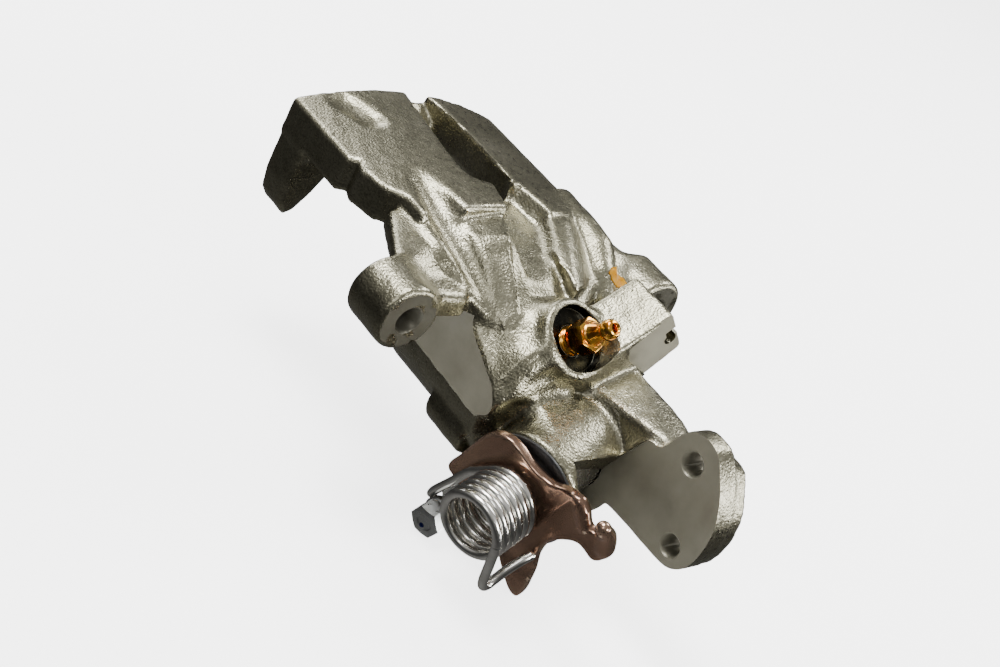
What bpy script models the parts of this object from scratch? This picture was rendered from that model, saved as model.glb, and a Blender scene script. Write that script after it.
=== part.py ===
"""Rear sliding brake caliper with an integrated parking-brake lever.

Millimetre dimensions are measured from the plane of the two guide-pin ears
(Y = 0), with Y along the piston, +Y towards the fingers, and +Z away from the
wheel axle. The finished assembly is moved along Y so that the world origin is
the centre of the piston's front face.
"""
import math

import bmesh
import bpy
from mathutils import Matrix, Vector

MM = 0.001
GAP = 0.3

# Cylinder and piston.
BARREL_R = 26.5
BARREL_FRONT = 35.0
BARREL_REAR = -18.0
BORE_R = 17.5
BORE_REAR = -2.0
POCKET_R = 13.0
POCKET_REAR = -16.0
PISTON_R = 17.38
PISTON_FACE = 37.0
PISTON_REAR = -1.5
CAVITY_R = 13.3
FLANK_X = -26.0

# Guide-pin ears.
EAR_X = 56.0
EAR_Z = 22.0
EAR_R = 11.5
EAR_LENGTH = 18.0
EAR_HOLE_R = 4.3

# Bridge over the disc, and the fingers.
BRIDGE_OUTER_R = 130.0
BRIDGE_TOP = 42.0
BRIDGE_THICKNESS = 12.0
BRIDGE_HALF_WIDTH = 47.0
BRIDGE_FAR = 99.0
FINGER_INNER = 84.0
WINDOW_LEFT = -6.5
WINDOW_RIGHT = 13.5
WINDOW_NEAR = 46.5
WINDOW_FAR = 91.0

# Parking-brake shaft: a point on its axis and its outward direction.
SHAFT_POINT = Vector((0.0, -36.2, -8.9))
SHAFT_AXIS = Vector((-0.9422, -0.2606, -0.2105)).normalized()
SHAFT_BOSS_R = 18.5
SHAFT_BOSS_END = 19.0
CROSS_BORE_R = 11.0
CAM_R = 10.7
JOURNAL_R = 8.0
LEVER_BACK = 22.6
LEVER_THICKNESS = 4.2
SPRING_R = 10.8
SPRING_WIRE_R = 1.6
SPRING_TURNS = 5
ANCHOR_REAR = -20.5
ANCHOR_UP = -22.5

# Bleeder screw and hose port.
BLEEDER_SEAT = Vector((2.0, -15.8, 25.1))
BLEEDER_AXIS = Vector((0.0, -0.6293, 0.7771)).normalized()
BLEEDER_BOSS_R = 13.2
SPOT_FACE_R = 11.3
SPOT_FACE_DEPTH = 3.0
PORT_AXIS = Vector((1.0, 0.0, 1.0)).normalized()
PORT_END = 50.0
PORT_Y = -15.0

# Cable bracket.
BRACKET_FRONT_X = 8.0
BRACKET_BACK_X = 21.0
BRACKET_BACK_TOP = 26.0
BRACKET_HOLES = [Vector((BRACKET_FRONT_X, -71.7, 21.6)), Vector((BRACKET_FRONT_X, -80.4, -4.3))]
BRACKET_HOLE_R = [3.8, 3.6]

X_AXIS = Vector((1.0, 0.0, 0.0))
Y_AXIS = Vector((0.0, 1.0, 0.0))
Z_AXIS = Vector((0.0, 0.0, 1.0))


def clear_scene():
    for obj in list(bpy.data.objects):
        bpy.data.objects.remove(obj, do_unlink=True)


def material(name, colour, roughness, metallic):
    mat = bpy.data.materials.new(name)
    mat.use_nodes = True
    shader = mat.node_tree.nodes["Principled BSDF"]
    shader.inputs["Base Color"].default_value = (*colour, 1.0)
    shader.inputs["Roughness"].default_value = roughness
    shader.inputs["Metallic"].default_value = metallic
    return mat


def frame_matrix(origin, axis):
    """Matrix whose local Z is the axis, and whose local X is as near +Z or +X as it can be."""
    axis = Vector(axis).normalized()
    guide = Z_AXIS if abs(axis.z) < 0.9 else X_AXIS
    side = (guide - axis * guide.dot(axis)).normalized()
    turn = Matrix((side, axis.cross(side), axis)).transposed().to_4x4()
    return Matrix.Translation(Vector(origin) * MM) @ turn


def finish(name, bm, matrix=None, smooth_angle=35.0):
    """Turn a bmesh in millimetres into a named object, with its faces pointing out."""
    bmesh.ops.recalc_face_normals(bm, faces=bm.faces[:])
    bmesh.ops.scale(bm, vec=(MM, MM, MM), verts=bm.verts[:])
    mesh = bpy.data.meshes.new(name)
    bm.to_mesh(mesh)
    bm.free()
    mesh.shade_smooth()
    mesh.set_sharp_from_angle(angle=math.radians(smooth_angle))
    obj = bpy.data.objects.new(name, mesh)
    bpy.context.scene.collection.objects.link(obj)
    if matrix is not None:
        obj.matrix_world = matrix
    return obj


def hull(name, points):
    """The convex solid around a list of points."""
    bm = bmesh.new()
    for point in points:
        bm.verts.new(point)
    bmesh.ops.convex_hull(bm, input=bm.verts[:])
    spare = [v for v in bm.verts if not v.link_faces]
    bmesh.ops.delete(bm, geom=spare, context="VERTS")
    return finish(name, bm)


def disc(origin, axis, radius, count=32):
    """Points on a circle around an axis."""
    turn = frame_matrix((0, 0, 0), axis).to_3x3()
    points = []
    for i in range(count):
        angle = 2 * math.pi * i / count
        points.append(Vector(origin) + turn @ Vector((math.cos(angle), math.sin(angle), 0)) * radius)
    return points


def box(name, low, high):
    """A block between two corners."""
    corners = []
    for x in (low[0], high[0]):
        for y in (low[1], high[1]):
            for z in (low[2], high[2]):
                corners.append(Vector((x, y, z)))
    return hull(name, corners)


def turned(name, profile, origin, axis, count=36):
    """A closed profile of (radius, height) points, spun around an axis."""
    bm = bmesh.new()
    rings = []
    for radius, height in profile:
        if radius == 0:
            rings.append([bm.verts.new((0, 0, height))])
            continue
        ring = []
        for i in range(count):
            angle = 2 * math.pi * i / count
            ring.append(bm.verts.new((radius * math.cos(angle), radius * math.sin(angle), height)))
        rings.append(ring)
    for a, b in zip(rings, rings[1:] + rings[:1]):
        if len(a) == 1 and len(b) == 1:
            continue
        for i in range(count):
            j = (i + 1) % count
            if len(a) == 1:
                bm.faces.new((a[0], b[i], b[j]))
            elif len(b) == 1:
                bm.faces.new((a[i], a[j], b[0]))
            else:
                bm.faces.new((a[i], a[j], b[j], b[i]))
    return finish(name, bm, frame_matrix(origin, axis))


def rod(name, origin, axis, radius, start, end, count=36):
    return turned(name, [(0, start), (radius, start), (radius, end), (0, end)], origin, axis, count)


def ring(name, origin, axis, inner, outer, start, end, count=36):
    return turned(name, [(inner, start), (outer, start), (outer, end), (inner, end)], origin, axis, count)


def prism(name, outline, start, end, matrix=None):
    """An outline in the local XY plane, extruded along local Z."""
    bm = bmesh.new()
    low = [bm.verts.new((x, y, start)) for x, y in outline]
    high = [bm.verts.new((x, y, end)) for x, y in outline]
    bm.faces.new(low[::-1])
    bm.faces.new(high)
    for i in range(len(outline)):
        j = (i + 1) % len(outline)
        bm.faces.new((low[i], low[j], high[j], high[i]))
    return finish(name, bm, matrix)


def tube(name, path, radius, sides=8):
    """A round wire along a list of points, with flat ends."""
    bm = bmesh.new()
    rings = []
    tangent = (path[1] - path[0]).normalized()
    guide = tangent.orthogonal().normalized()
    for i, point in enumerate(path):
        ahead = path[min(i + 1, len(path) - 1)]
        behind = path[max(i - 1, 0)]
        tangent = (ahead - behind).normalized()
        guide = (guide - tangent * guide.dot(tangent)).normalized()
        other = tangent.cross(guide)
        ring_points = []
        for k in range(sides):
            angle = 2 * math.pi * k / sides
            offset = guide * math.cos(angle) + other * math.sin(angle)
            ring_points.append(bm.verts.new(point + offset * radius))
        rings.append(ring_points)
    bm.faces.new(rings[0][::-1])
    bm.faces.new(rings[-1])
    for a, b in zip(rings, rings[1:]):
        for k in range(sides):
            m = (k + 1) % sides
            bm.faces.new((a[k], a[m], b[m], b[k]))
    return finish(name, bm)


def boolean(obj, other, operation):
    """Cut or add another object, which then only serves as a guide.

    Every solid here is closed, and several share faces or centres, so the
    MANIFOLD solver is used: it keeps the result closed where EXACT leaves gaps.
    """
    modifier = obj.modifiers.new(other.name, "BOOLEAN")
    modifier.operation = operation
    modifier.object = other
    modifier.solver = "MANIFOLD"
    other.hide_render = True
    other.display_type = "WIRE"


def cut(obj, *others):
    for other in others:
        boolean(obj, other, "DIFFERENCE")


def add(obj, *others):
    for other in others:
        boolean(obj, other, "UNION")


# The shaft's own frame: along the shaft, rearwards and upwards across it.
SHAFT_REAR = (-Y_AXIS - SHAFT_AXIS * SHAFT_AXIS.dot(-Y_AXIS)).normalized()
SHAFT_UP = SHAFT_AXIS.cross(SHAFT_REAR)
SHAFT_TURN = Matrix((SHAFT_REAR, SHAFT_UP, SHAFT_AXIS)).transposed().to_4x4()
SHAFT_MATRIX = Matrix.Translation(SHAFT_POINT * MM) @ SHAFT_TURN


def on_shaft(along, rear=0.0, up=0.0):
    return SHAFT_POINT + SHAFT_AXIS * along + SHAFT_REAR * rear + SHAFT_UP * up


def bridge_outline(half_width, outer, inner, steps=16):
    """The curved strip between two radii around the wheel axle, in X and Z."""
    centre = BRIDGE_TOP - BRIDGE_OUTER_R
    span = math.asin(half_width / BRIDGE_OUTER_R)
    angles = [span * (2 * i / steps - 1) for i in range(steps + 1)]
    top = [(outer * math.sin(a), centre + outer * math.cos(a)) for a in angles]
    under = [(inner * math.sin(a), centre + inner * math.cos(a)) for a in reversed(angles)]
    return top + under


def y_prism(name, outline, start, end):
    """An outline in X and Z, extruded along Y."""
    bm = bmesh.new()
    low = [bm.verts.new((x, start, z)) for x, z in outline]
    high = [bm.verts.new((x, end, z)) for x, z in outline]
    bm.faces.new(low)
    bm.faces.new(high[::-1])
    for i in range(len(outline)):
        j = (i + 1) % len(outline)
        bm.faces.new((low[i], high[i], high[j], low[j]))
    return finish(name, bm)


def make_body_castings():
    """The solids around the cylinder and the shaft."""
    rear_disc = disc((0, BARREL_REAR - 1.5, 0), Y_AXIS, BARREL_R - 1.2, 36)
    boss_discs = disc(on_shaft(-24), SHAFT_AXIS, SHAFT_BOSS_R)
    boss_discs += disc(on_shaft(SHAFT_BOSS_END), SHAFT_AXIS, SHAFT_BOSS_R)
    middle_disc = disc(on_shaft(8), SHAFT_AXIS, SHAFT_BOSS_R - 1, 28)
    shoulder = [(-28, 33, 34), (27, 33, 34), (-28, 6, 25), (27, 6, 27), (-28, -26, 2), (27, -20, 6)]
    lower = [(-28, 32, 0), (27, 32, 0), (-28, -22, -2), (27, -18, 0), (10, -20, 22), (-10, -22, 18)]
    return [
        hull("guide_saddle", [Vector(p) for p in shoulder + lower]),
        hull("guide_rear", rear_disc + disc((0, -8, 0), Y_AXIS, BARREL_R - 0.7, 36) + middle_disc),
        hull("guide_shaft_boss", boss_discs),
        rod("guide_lower_rib", (-17, 0, -18), Y_AXIS, 9.5, -15, 12, 24),
        rod("guide_bleeder_boss", BLEEDER_SEAT, BLEEDER_AXIS, BLEEDER_BOSS_R, -20, 0),
    ]


def make_port_boss():
    side = Vector((1.0, 0.0, -1.0)).normalized()
    centre = Vector((0, PORT_Y, 0))
    points = []
    for along, half in ((12, 13.0), (32, 10.5), (PORT_END, 9.5)):
        for y in (-10, 10):
            for sign in (-1, 1):
                points.append(centre + PORT_AXIS * along + side * half * sign + Y_AXIS * y)
    return hull("guide_port_boss", points)


def make_ears():
    """Two barrels for the guide pins, each with a web to the body and the bridge."""
    solids = []
    for side, name in ((-1, "left"), (1, "right")):
        x = side * EAR_X
        front = disc((x, 0, EAR_Z), Y_AXIS, EAR_R)
        rear = disc((x, EAR_LENGTH, EAR_Z), Y_AXIS, EAR_R)
        solids.append(hull("guide_ear_" + name, front + rear))
        web = [(x, 3, EAR_Z - 9), (x, 3, EAR_Z + 9), (x, 17, EAR_Z - 9), (x, 17, EAR_Z + 9)]
        web += [(side * 22, 3, 10), (side * 22, 3, 29), (side * 22, 24, 10), (side * 22, 30, 33)]
        solids.append(hull("guide_web_" + name, [Vector(p) for p in web]))
        strut = [(x, 6, EAR_Z), (x, 17, EAR_Z + 11), (x, 17, EAR_Z)]
        strut += [(side * 30, 17, 26), (side * 30, 40, 26)]
        strut += [(side * 44, 44, 34), (side * 44, 44, 24), (side * 28, 44, 38), (side * 28, 20, 36)]
        solids.append(hull("guide_shoulder_" + name, [Vector(p) for p in strut]))
    return solids


def make_bridge():
    outer = BRIDGE_OUTER_R
    inner = BRIDGE_OUTER_R - BRIDGE_THICKNESS
    plate = y_prism("guide_bridge", bridge_outline(BRIDGE_HALF_WIDTH, outer, inner), 38, BRIDGE_FAR)
    saddle = y_prism("guide_bridge_root", bridge_outline(34, outer, inner - 4), 14, 50)
    return [plate, saddle]


def make_fingers():
    """Two fingers that hang from the bridge and press the outer pad."""
    left = [(-18, 38), (-30, 36), (-46, 32), (-48, 14), (-45, 3), (-40, 0), (-34, 6), (-29, 17), (-19, 26)]
    right = [(25, 29), (32.5, 23), (35, 15), (37.5, 8), (41, 0), (45, 3), (48, 14), (46, 32)]
    right += [(34, 36), (24, 38)]
    face = BRIDGE_FAR - 0.5
    return [
        y_prism("guide_finger_left", left, FINGER_INNER, face),
        y_prism("guide_finger_right", right, FINGER_INNER, face),
    ]


def make_cable_bracket():
    """The arm that runs back from the body, and the plate at its end.

    The plate's front face is milled flat, and its back is lower round the upper hole.
    """
    outline = [(-43, -12), (-54, 15.5), (-62, 23.5), (-64.2, 28.3), (-68, 31), (-72, 31.8), (-77, 31)]
    outline += [(-82, 26), (-87, 19), (-90.5, 11), (-91, 1), (-88, -7.5), (-83, -11.5), (-68, -12)]
    points = []
    for y, z in outline:
        points.append(Vector((BRACKET_FRONT_X, y, z)))
        points.append(Vector((BRACKET_BACK_X, y, min(z, BRACKET_BACK_TOP))))
    plate = hull("guide_bracket", points)
    arm = [(6.5, -24, 20), (24, -24, 20), (6.5, -24, -12), (24, -24, -12), (9, -66, 21), (19, -66, 20)]
    arm += [(9, -66, -2), (19, -66, -6), (25, -40, 19), (25, -40, -8)]
    return [plate, hull("guide_arm", [Vector(p) for p in arm])]


def make_anchor_lug():
    """The lug beside the shaft boss that holds the spring's anchor bolt."""
    low = disc(on_shaft(9, ANCHOR_REAR, ANCHOR_UP), SHAFT_AXIS, 6.5, 20)
    low += disc(on_shaft(SHAFT_BOSS_END, ANCHOR_REAR, ANCHOR_UP), SHAFT_AXIS, 6.5, 20)
    high = disc(on_shaft(2, -6, -9), SHAFT_AXIS, 8, 20)
    high += disc(on_shaft(SHAFT_BOSS_END - 1, -8, -10), SHAFT_AXIS, 7, 20)
    return [hull("guide_anchor_lug", low + high)]


def make_housing():
    housing = rod("caliper_housing", (0, 0, 0), Y_AXIS, BARREL_R, BARREL_REAR, BARREL_FRONT)
    add(housing, *make_body_castings(), make_port_boss(), *make_ears())
    add(housing, *make_bridge(), *make_fingers())
    add(housing, *make_cable_bracket(), *make_anchor_lug())
    cut(housing, box("cut_flank", (-40, -30, -40), (FLANK_X, 22.5, 20)))
    cut(housing, box("cut_disc_gap", (-70, 46, -60), (70, FINGER_INNER, 26)))
    cut(housing, box("cut_window", (WINDOW_LEFT, WINDOW_NEAR, 0), (WINDOW_RIGHT, WINDOW_FAR, 60)))
    bore = [(0, POCKET_REAR), (POCKET_R, POCKET_REAR), (POCKET_R, -4.5), (14.0, -4.5), (14.0, -2.8)]
    bore += [(POCKET_R, -2.8), (POCKET_R, BORE_REAR), (BORE_R, BORE_REAR), (BORE_R, 24.3)]
    bore += [(20.6, 24.3), (20.6, 28.0), (BORE_R, 28.0), (BORE_R, 31.0), (22.3, 31.0)]
    bore += [(22.3, 33.6), (21.0, 33.6), (21.0, 40.0), (0, 40.0)]
    cut(housing, turned("cut_bore", bore, (0, 0, 0), Y_AXIS))
    cut(housing, rod("cut_spindle_bore", (0, 0, 0), Y_AXIS, 6.1, -41, POCKET_REAR + 1))
    cut(housing, rod("cut_cross_bore", SHAFT_POINT, SHAFT_AXIS, CROSS_BORE_R, -21, 30))
    bleed = [(0, -19), (1.6, -19), (1.6, -13), (5.1, -9.5), (5.1, -SPOT_FACE_DEPTH)]
    bleed += [(SPOT_FACE_R, -SPOT_FACE_DEPTH), (SPOT_FACE_R, 5), (0, 5)]
    cut(housing, turned("cut_bleeder", bleed, BLEEDER_SEAT, BLEEDER_AXIS))
    port = [(0, 14), (2.0, 14), (2.0, 36), (4.6, 38), (4.6, 60), (0, 60)]
    cut(housing, turned("cut_port", port, (0, PORT_Y + 6, 0), PORT_AXIS, 32))
    for side, name in ((-1, "left"), (1, "right")):
        ear = (side * EAR_X, 0, EAR_Z)
        cut(housing, rod("cut_ear_" + name, ear, Y_AXIS, EAR_HOLE_R, -5, EAR_LENGTH + 16, 32))
    for i, radius in enumerate(BRACKET_HOLE_R):
        cut(housing, rod(f"cut_bracket_hole_{i}", BRACKET_HOLES[i], X_AXIS, radius, -5, 20, 32))
    anchor = on_shaft(0, ANCHOR_REAR, ANCHOR_UP)
    cut(housing, rod("cut_anchor_hole", anchor, SHAFT_AXIS, 3.3, 4, 30, 24))
    return housing


def make_piston():
    profile = [(0, PISTON_FACE), (16.6, PISTON_FACE), (PISTON_R, PISTON_FACE - 0.8), (PISTON_R, 34.6)]
    profile += [(16.0, 34.6), (16.0, 32.0), (PISTON_R, 32.0), (PISTON_R, PISTON_REAR + 0.8)]
    profile += [(16.6, PISTON_REAR)]
    profile += [(CAVITY_R, PISTON_REAR), (CAVITY_R, 18.0), (14.2, 18.0), (14.2, 19.6), (CAVITY_R, 19.6)]
    profile += [(CAVITY_R, 28.0), (8.0, 31.0), (0, 31.0)]
    piston = turned("piston", profile, (0, 0, 0), Y_AXIS)
    for i in range(4):
        angle = math.radians(45 + 90 * i)
        centre = Vector((math.cos(angle) * 11.5, PISTON_FACE, math.sin(angle) * 11.5))
        cut(piston, rod(f"cut_key_hole_{i}", centre, Y_AXIS, 2.0, -3.0, 3.0, 16))
    return piston


def make_piston_rings():
    seal = ring("piston_seal", (0, 0, 0), Y_AXIS, 17.5, 20.3, 24.6, 27.7)
    boot = [(17.75, 31.4), (22.0, 31.4), (22.0, 33.3), (20.6, 33.3), (20.6, 35.6), (19.4, 35.6)]
    boot += [(19.4, 33.0), (18.6, 33.0), (18.6, 34.2), (17.5, 34.2), (17.5, 32.4), (17.75, 32.4)]
    return seal, turned("dust_boot", boot, (0, 0, 0), Y_AXIS)


def make_adjuster():
    """The screw adjuster inside the piston, and what holds it."""
    spindle = [(0, -23.0), (5.2, -23.0), (6.0, -22.4), (6.0, -21.4), (4.5, -21.4), (4.5, -19.0)]
    spindle += [(6.0, -19.0), (6.0, -15.7), (9.0, -15.7), (9.0, -13.2), (4.9, -13.2), (4.9, 26.0)]
    spindle += [(3.9, 27.0), (0, 27.0)]
    nut = [(5.2, 0.0), (8.6, 0.0), (9.0, 0.6), (9.0, 23.6), (12.7, 23.6), (12.7, 27.6), (8.0, 30.4)]
    nut += [(4.0, 30.7), (0, 30.7), (0, 28.5), (5.2, 28.5)]
    cup = [(5.6, -6.2), (7.0, -6.2), (7.0, -5.2), (12.7, -5.2), (12.7, -4.7), (5.6, -4.7)]
    pieces = {
        "adjuster_spindle": turned("adjuster_spindle", spindle, (0, 0, 0), Y_AXIS),
        "spindle_o_ring": ring("spindle_o_ring", (0, 0, 0), Y_AXIS, 4.6, 5.9, -21.1, -19.3),
        "adjuster_nut": turned("adjuster_nut", nut, (0, 0, 0), Y_AXIS),
        "nut_thrust_washer": ring("nut_thrust_washer", (0, 0, 0), Y_AXIS, 9.3, 13.0, 21.4, 23.3),
        "nut_retaining_ring": ring("nut_retaining_ring", (0, 0, 0), Y_AXIS, 10.6, 13.9, 18.3, 19.3),
        "spring_cup": turned("spring_cup", cup, (0, 0, 0), Y_AXIS),
        "bore_retaining_ring": ring("bore_retaining_ring", (0, 0, 0), Y_AXIS, 10.6, 13.7, -4.3, -3.1),
    }
    turns = 2.6
    steps = 42
    path = []
    for i in range(steps + 1):
        angle = 2 * math.pi * turns * i / steps
        height = -12.2 + 5.2 * i / steps
        path.append(Vector((7.7 * math.cos(angle), height, 7.7 * math.sin(angle))))
    pieces["adjuster_spring"] = tube("adjuster_spring", path, 0.65, 6)
    return pieces


def make_cam_shaft():
    """The cross shaft, with a slot in its cam section for the push strut."""
    profile = [(0, -20.6), (7.2, -20.6), (JOURNAL_R, -19.8), (JOURNAL_R, -7.6), (CAM_R, -7.6)]
    profile += [(CAM_R, 7.6), (JOURNAL_R, 7.6), (JOURNAL_R, 22.3), (6.0, 22.3), (6.0, 27.6)]
    profile += [(4.0, 27.6), (4.0, 36.4), (0, 37.0)]
    shaft = turned("cam_shaft", profile, SHAFT_POINT, SHAFT_AXIS)
    slot = []
    for along in (-9.0, 5.5):
        for rear, up in ((4.1, 3.9), (4.1, 16.0), (-16.0, 16.0), (-16.0, 3.9)):
            slot.append(on_shaft(along, rear, up))
    cut(shaft, hull("cut_cam_slot", slot))
    for side in (-1, 1):
        flat = []
        for along in (22.3, 27.6):
            for rear in (-9, 9):
                for up in (4.6, 9):
                    flat.append(on_shaft(along, rear, up * side))
        cut(shaft, hull(f"cut_tenon_{side}", flat))
    return shaft


def make_shaft_fittings():
    boot = [(8.1, 19.3), (17.5, 19.3), (19.0, 20.0), (19.0, 21.0), (14.0, 21.9), (8.1, 22.1)]
    return {
        "shaft_bush_inner": ring("shaft_bush_inner", SHAFT_POINT, SHAFT_AXIS, 8.08, 10.9, -20.0, -8.0),
        "shaft_bush_outer": ring("shaft_bush_outer", SHAFT_POINT, SHAFT_AXIS, 8.08, 10.9, 8.0, 15.4),
        "shaft_seal": ring("shaft_seal", SHAFT_POINT, SHAFT_AXIS, 8.08, 10.9, 15.7, 19.0),
        "shaft_boot": turned("shaft_boot", boot, SHAFT_POINT, SHAFT_AXIS),
    }


def make_strut():
    tip = []
    radius = 3.2
    for i in range(7):
        angle = math.pi / 2 * i / 6
        tip.append((radius * math.sin(angle), SHAFT_POINT.y - radius * math.cos(angle)))
    return turned("push_strut", tip + [(radius, -24.3), (2.6, -23.3), (0, -23.3)], (0, 0, 0), Y_AXIS, 24)


def make_lever():
    """A pressed plate with a lobe, a spring tab and a hooked arm, square to the shaft."""
    outline = [(-23.0, -9.3), (-25.3, -5.5), (-17.8, 12.0), (-12.0, 18.5), (-4.0, 19.5), (3.0, 17.0)]
    outline += [(9.0, 16.5), (15.0, 18.5), (22.0, 20.0), (28.0, 19.0), (34.0, 19.0), (37.0, 14.0)]
    outline += [(36.5, 8.0), (33.0, 5.0), (29.5, 7.0), (28.0, 11.0), (25.0, 5.0), (21.0, 0.0)]
    outline += [(18.0, -4.0), (17.5, -20.0), (16.0, -31.5), (13.0, -31.8), (7.0, -21.0), (0.0, -16.5)]
    outline += [(-10.0, -13.5)]
    lever = prism("parking_lever", outline, LEVER_BACK, LEVER_BACK + LEVER_THICKNESS, SHAFT_MATRIX)
    cut(lever, prism("cut_lever_tenon", lever_hole(), 10, 40, SHAFT_MATRIX))
    return lever


def lever_hole(radius=6.3, flat=4.9, steps=10):
    """A round hole with two flats, which fits the shaft's tenon."""
    reach = math.asin(flat / radius)
    right = [reach * (2 * i / steps - 1) for i in range(steps + 1)]
    left = [math.pi + a for a in right]
    return [(radius * math.cos(a), radius * math.sin(a)) for a in right + left]


def hexagon(across_flats):
    corner = across_flats / math.sqrt(3)
    angles = [math.pi / 3 * i for i in range(6)]
    return [(corner * math.cos(a), corner * math.sin(a)) for a in angles]


def make_lever_nut():
    face = LEVER_BACK + LEVER_THICKNESS + GAP
    matrix = frame_matrix(SHAFT_POINT, SHAFT_AXIS)
    washer = ring("lever_washer", SHAFT_POINT, SHAFT_AXIS, 4.3, 7.8, face + 0.5, face + 1.9, 32)
    nut = prism("lever_nut", hexagon(12.0), face + 2.2, face + 8.0, matrix)
    cut(nut, rod("cut_lever_nut", SHAFT_POINT, SHAFT_AXIS, 4.3, 20, 50, 32))
    return washer, nut


def make_return_spring():
    """Close turns; the rear leg bears on the anchor bolt, the front leg hooks back to the lever."""
    back = LEVER_BACK + LEVER_THICKNESS + 2.6
    pitch = 2 * SPRING_WIRE_R + 0.15
    start = math.radians(135)
    sweep = start + 2 * math.pi * SPRING_TURNS
    front = back + pitch * sweep / (2 * math.pi)
    rear_leg = ((-26.0, -19.5), (-24.3, -15.5), (-20.5, -7.5), (-16.0, -0.9))
    path = [on_shaft(back, rear, up) for rear, up in rear_leg]
    steps = 72
    for i in range(steps + 1):
        angle = start - sweep * i / steps
        along = back + (front - back) * i / steps
        path.append(on_shaft(along, SPRING_R * math.cos(angle), SPRING_R * math.sin(angle)))
    leg = [(0, 10.6, -8.0), (0.4, 10.4, -16.0), (1.8, 10.2, -19.4), (4.8, 10.2, -20.0)]
    leg.append((8.5, 10.8, -18.0))
    path += [on_shaft(front - behind, rear, up) for behind, rear, up in leg]
    path.append(on_shaft(back + 0.2, 14.8, -11.5))
    return tube("return_spring", path, SPRING_WIRE_R, 6)


def make_anchor_bolt():
    """The hex bolt whose plain collar stops the spring's rear leg."""
    centre = on_shaft(0, ANCHOR_REAR, ANCHOR_UP)
    matrix = frame_matrix(centre, SHAFT_AXIS)
    bolt = prism("spring_anchor_bolt", hexagon(10.0), 31.2, 37.2, matrix)
    shank = [(0, 6.0), (3.0, 6.0), (3.0, 19.3), (3.9, 19.3), (3.9, 32.0), (0, 32.0)]
    add(bolt, turned("guide_anchor_shank", shank, centre, SHAFT_AXIS, 24))
    washer = ring("anchor_washer", centre, SHAFT_AXIS, 4.1, 6.4, 19.3, 20.9, 24)
    return bolt, washer


def make_bleeder():
    """The bleed screw: cone, thread, neck, hexagon and hose barb, with its blind hole."""
    profile = [(0, -12.2), (1.6, -12.2), (4.2, -9.0), (4.9, -8.4), (4.9, -1.0), (3.9, -0.6)]
    profile += [(3.9, 0.6), (4.6, 1.0), (4.6, 7.2), (4.2, 7.4), (3.1, 11.4), (2.6, 12.8)]
    profile += [(3.3, 14.0), (3.3, 15.6), (2.6, 17.0), (1.2, 17.0), (1.2, 1.5), (0, 1.5)]
    screw = turned("bleeder_screw", profile, BLEEDER_SEAT, BLEEDER_AXIS, 24)
    matrix = frame_matrix(BLEEDER_SEAT, BLEEDER_AXIS)
    add(screw, prism("guide_bleeder_hex", hexagon(10.0), 0.8, 7.0, matrix))
    cut(screw, rod("cut_bleeder_tip", BLEEDER_SEAT, BLEEDER_AXIS, 1.2, 0.0, 20.0, 12))
    return screw


def paint(mat, *objects):
    for obj in objects:
        obj.data.materials.append(mat)


def main():
    clear_scene()
    housing = make_housing()
    piston = make_piston()
    seal, boot = make_piston_rings()
    adjuster = make_adjuster()
    shaft = make_cam_shaft()
    fittings = make_shaft_fittings()
    strut = make_strut()
    lever = make_lever()
    lever_washer, lever_nut = make_lever_nut()
    spring = make_return_spring()
    anchor_bolt, anchor_washer = make_anchor_bolt()
    bleeder = make_bleeder()

    paint(material("zinc_cast_iron", (0.58, 0.57, 0.52), 0.45, 0.75), housing)
    paint(material("ground_steel", (0.55, 0.55, 0.56), 0.3, 1.0), piston, shaft, strut)
    paint(material("black_rubber", (0.02, 0.02, 0.02), 0.7, 0.0), seal, boot, fittings["shaft_boot"])
    seal_rubber = material("seal_rubber", (0.03, 0.03, 0.03), 0.6, 0.0)
    paint(seal_rubber, fittings["shaft_seal"], adjuster["spindle_o_ring"])
    bronze = material("bronze_bush", (0.55, 0.38, 0.18), 0.4, 0.9)
    paint(bronze, fittings["shaft_bush_inner"], fittings["shaft_bush_outer"])
    screw_pieces = [adjuster[n] for n in ("adjuster_spindle", "adjuster_nut")]
    paint(material("phosphate_steel", (0.22, 0.22, 0.21), 0.5, 0.8), *screw_pieces)
    ring_names = ("nut_thrust_washer", "nut_retaining_ring", "spring_cup", "bore_retaining_ring")
    rings = [adjuster[n] for n in ring_names] + [adjuster["adjuster_spring"]]
    paint(material("spring_steel", (0.35, 0.35, 0.36), 0.35, 0.9), *rings)
    paint(material("bronze_chromate", (0.42, 0.28, 0.2), 0.3, 0.9), lever)
    bright_zinc = material("bright_zinc", (0.72, 0.72, 0.7), 0.25, 1.0)
    paint(bright_zinc, spring, lever_washer, lever_nut, anchor_bolt, anchor_washer)
    paint(material("yellow_chromate", (0.75, 0.5, 0.16), 0.25, 0.9), bleeder)

    shift = Matrix.Translation((0, -PISTON_FACE * MM, 0))
    for obj in bpy.data.objects:
        obj.matrix_world = shift @ obj.matrix_world


main()
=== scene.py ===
"""Looks for the rear sliding brake caliper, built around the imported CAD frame.

Lengths inside the shape functions are millimetres from the plane of the two
guide-pin ears (Y = 0); place() moves them to the frame, in metres.
"""
import math

import bmesh
import bpy
import numpy as np
from mathutils import Matrix, Vector


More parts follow.
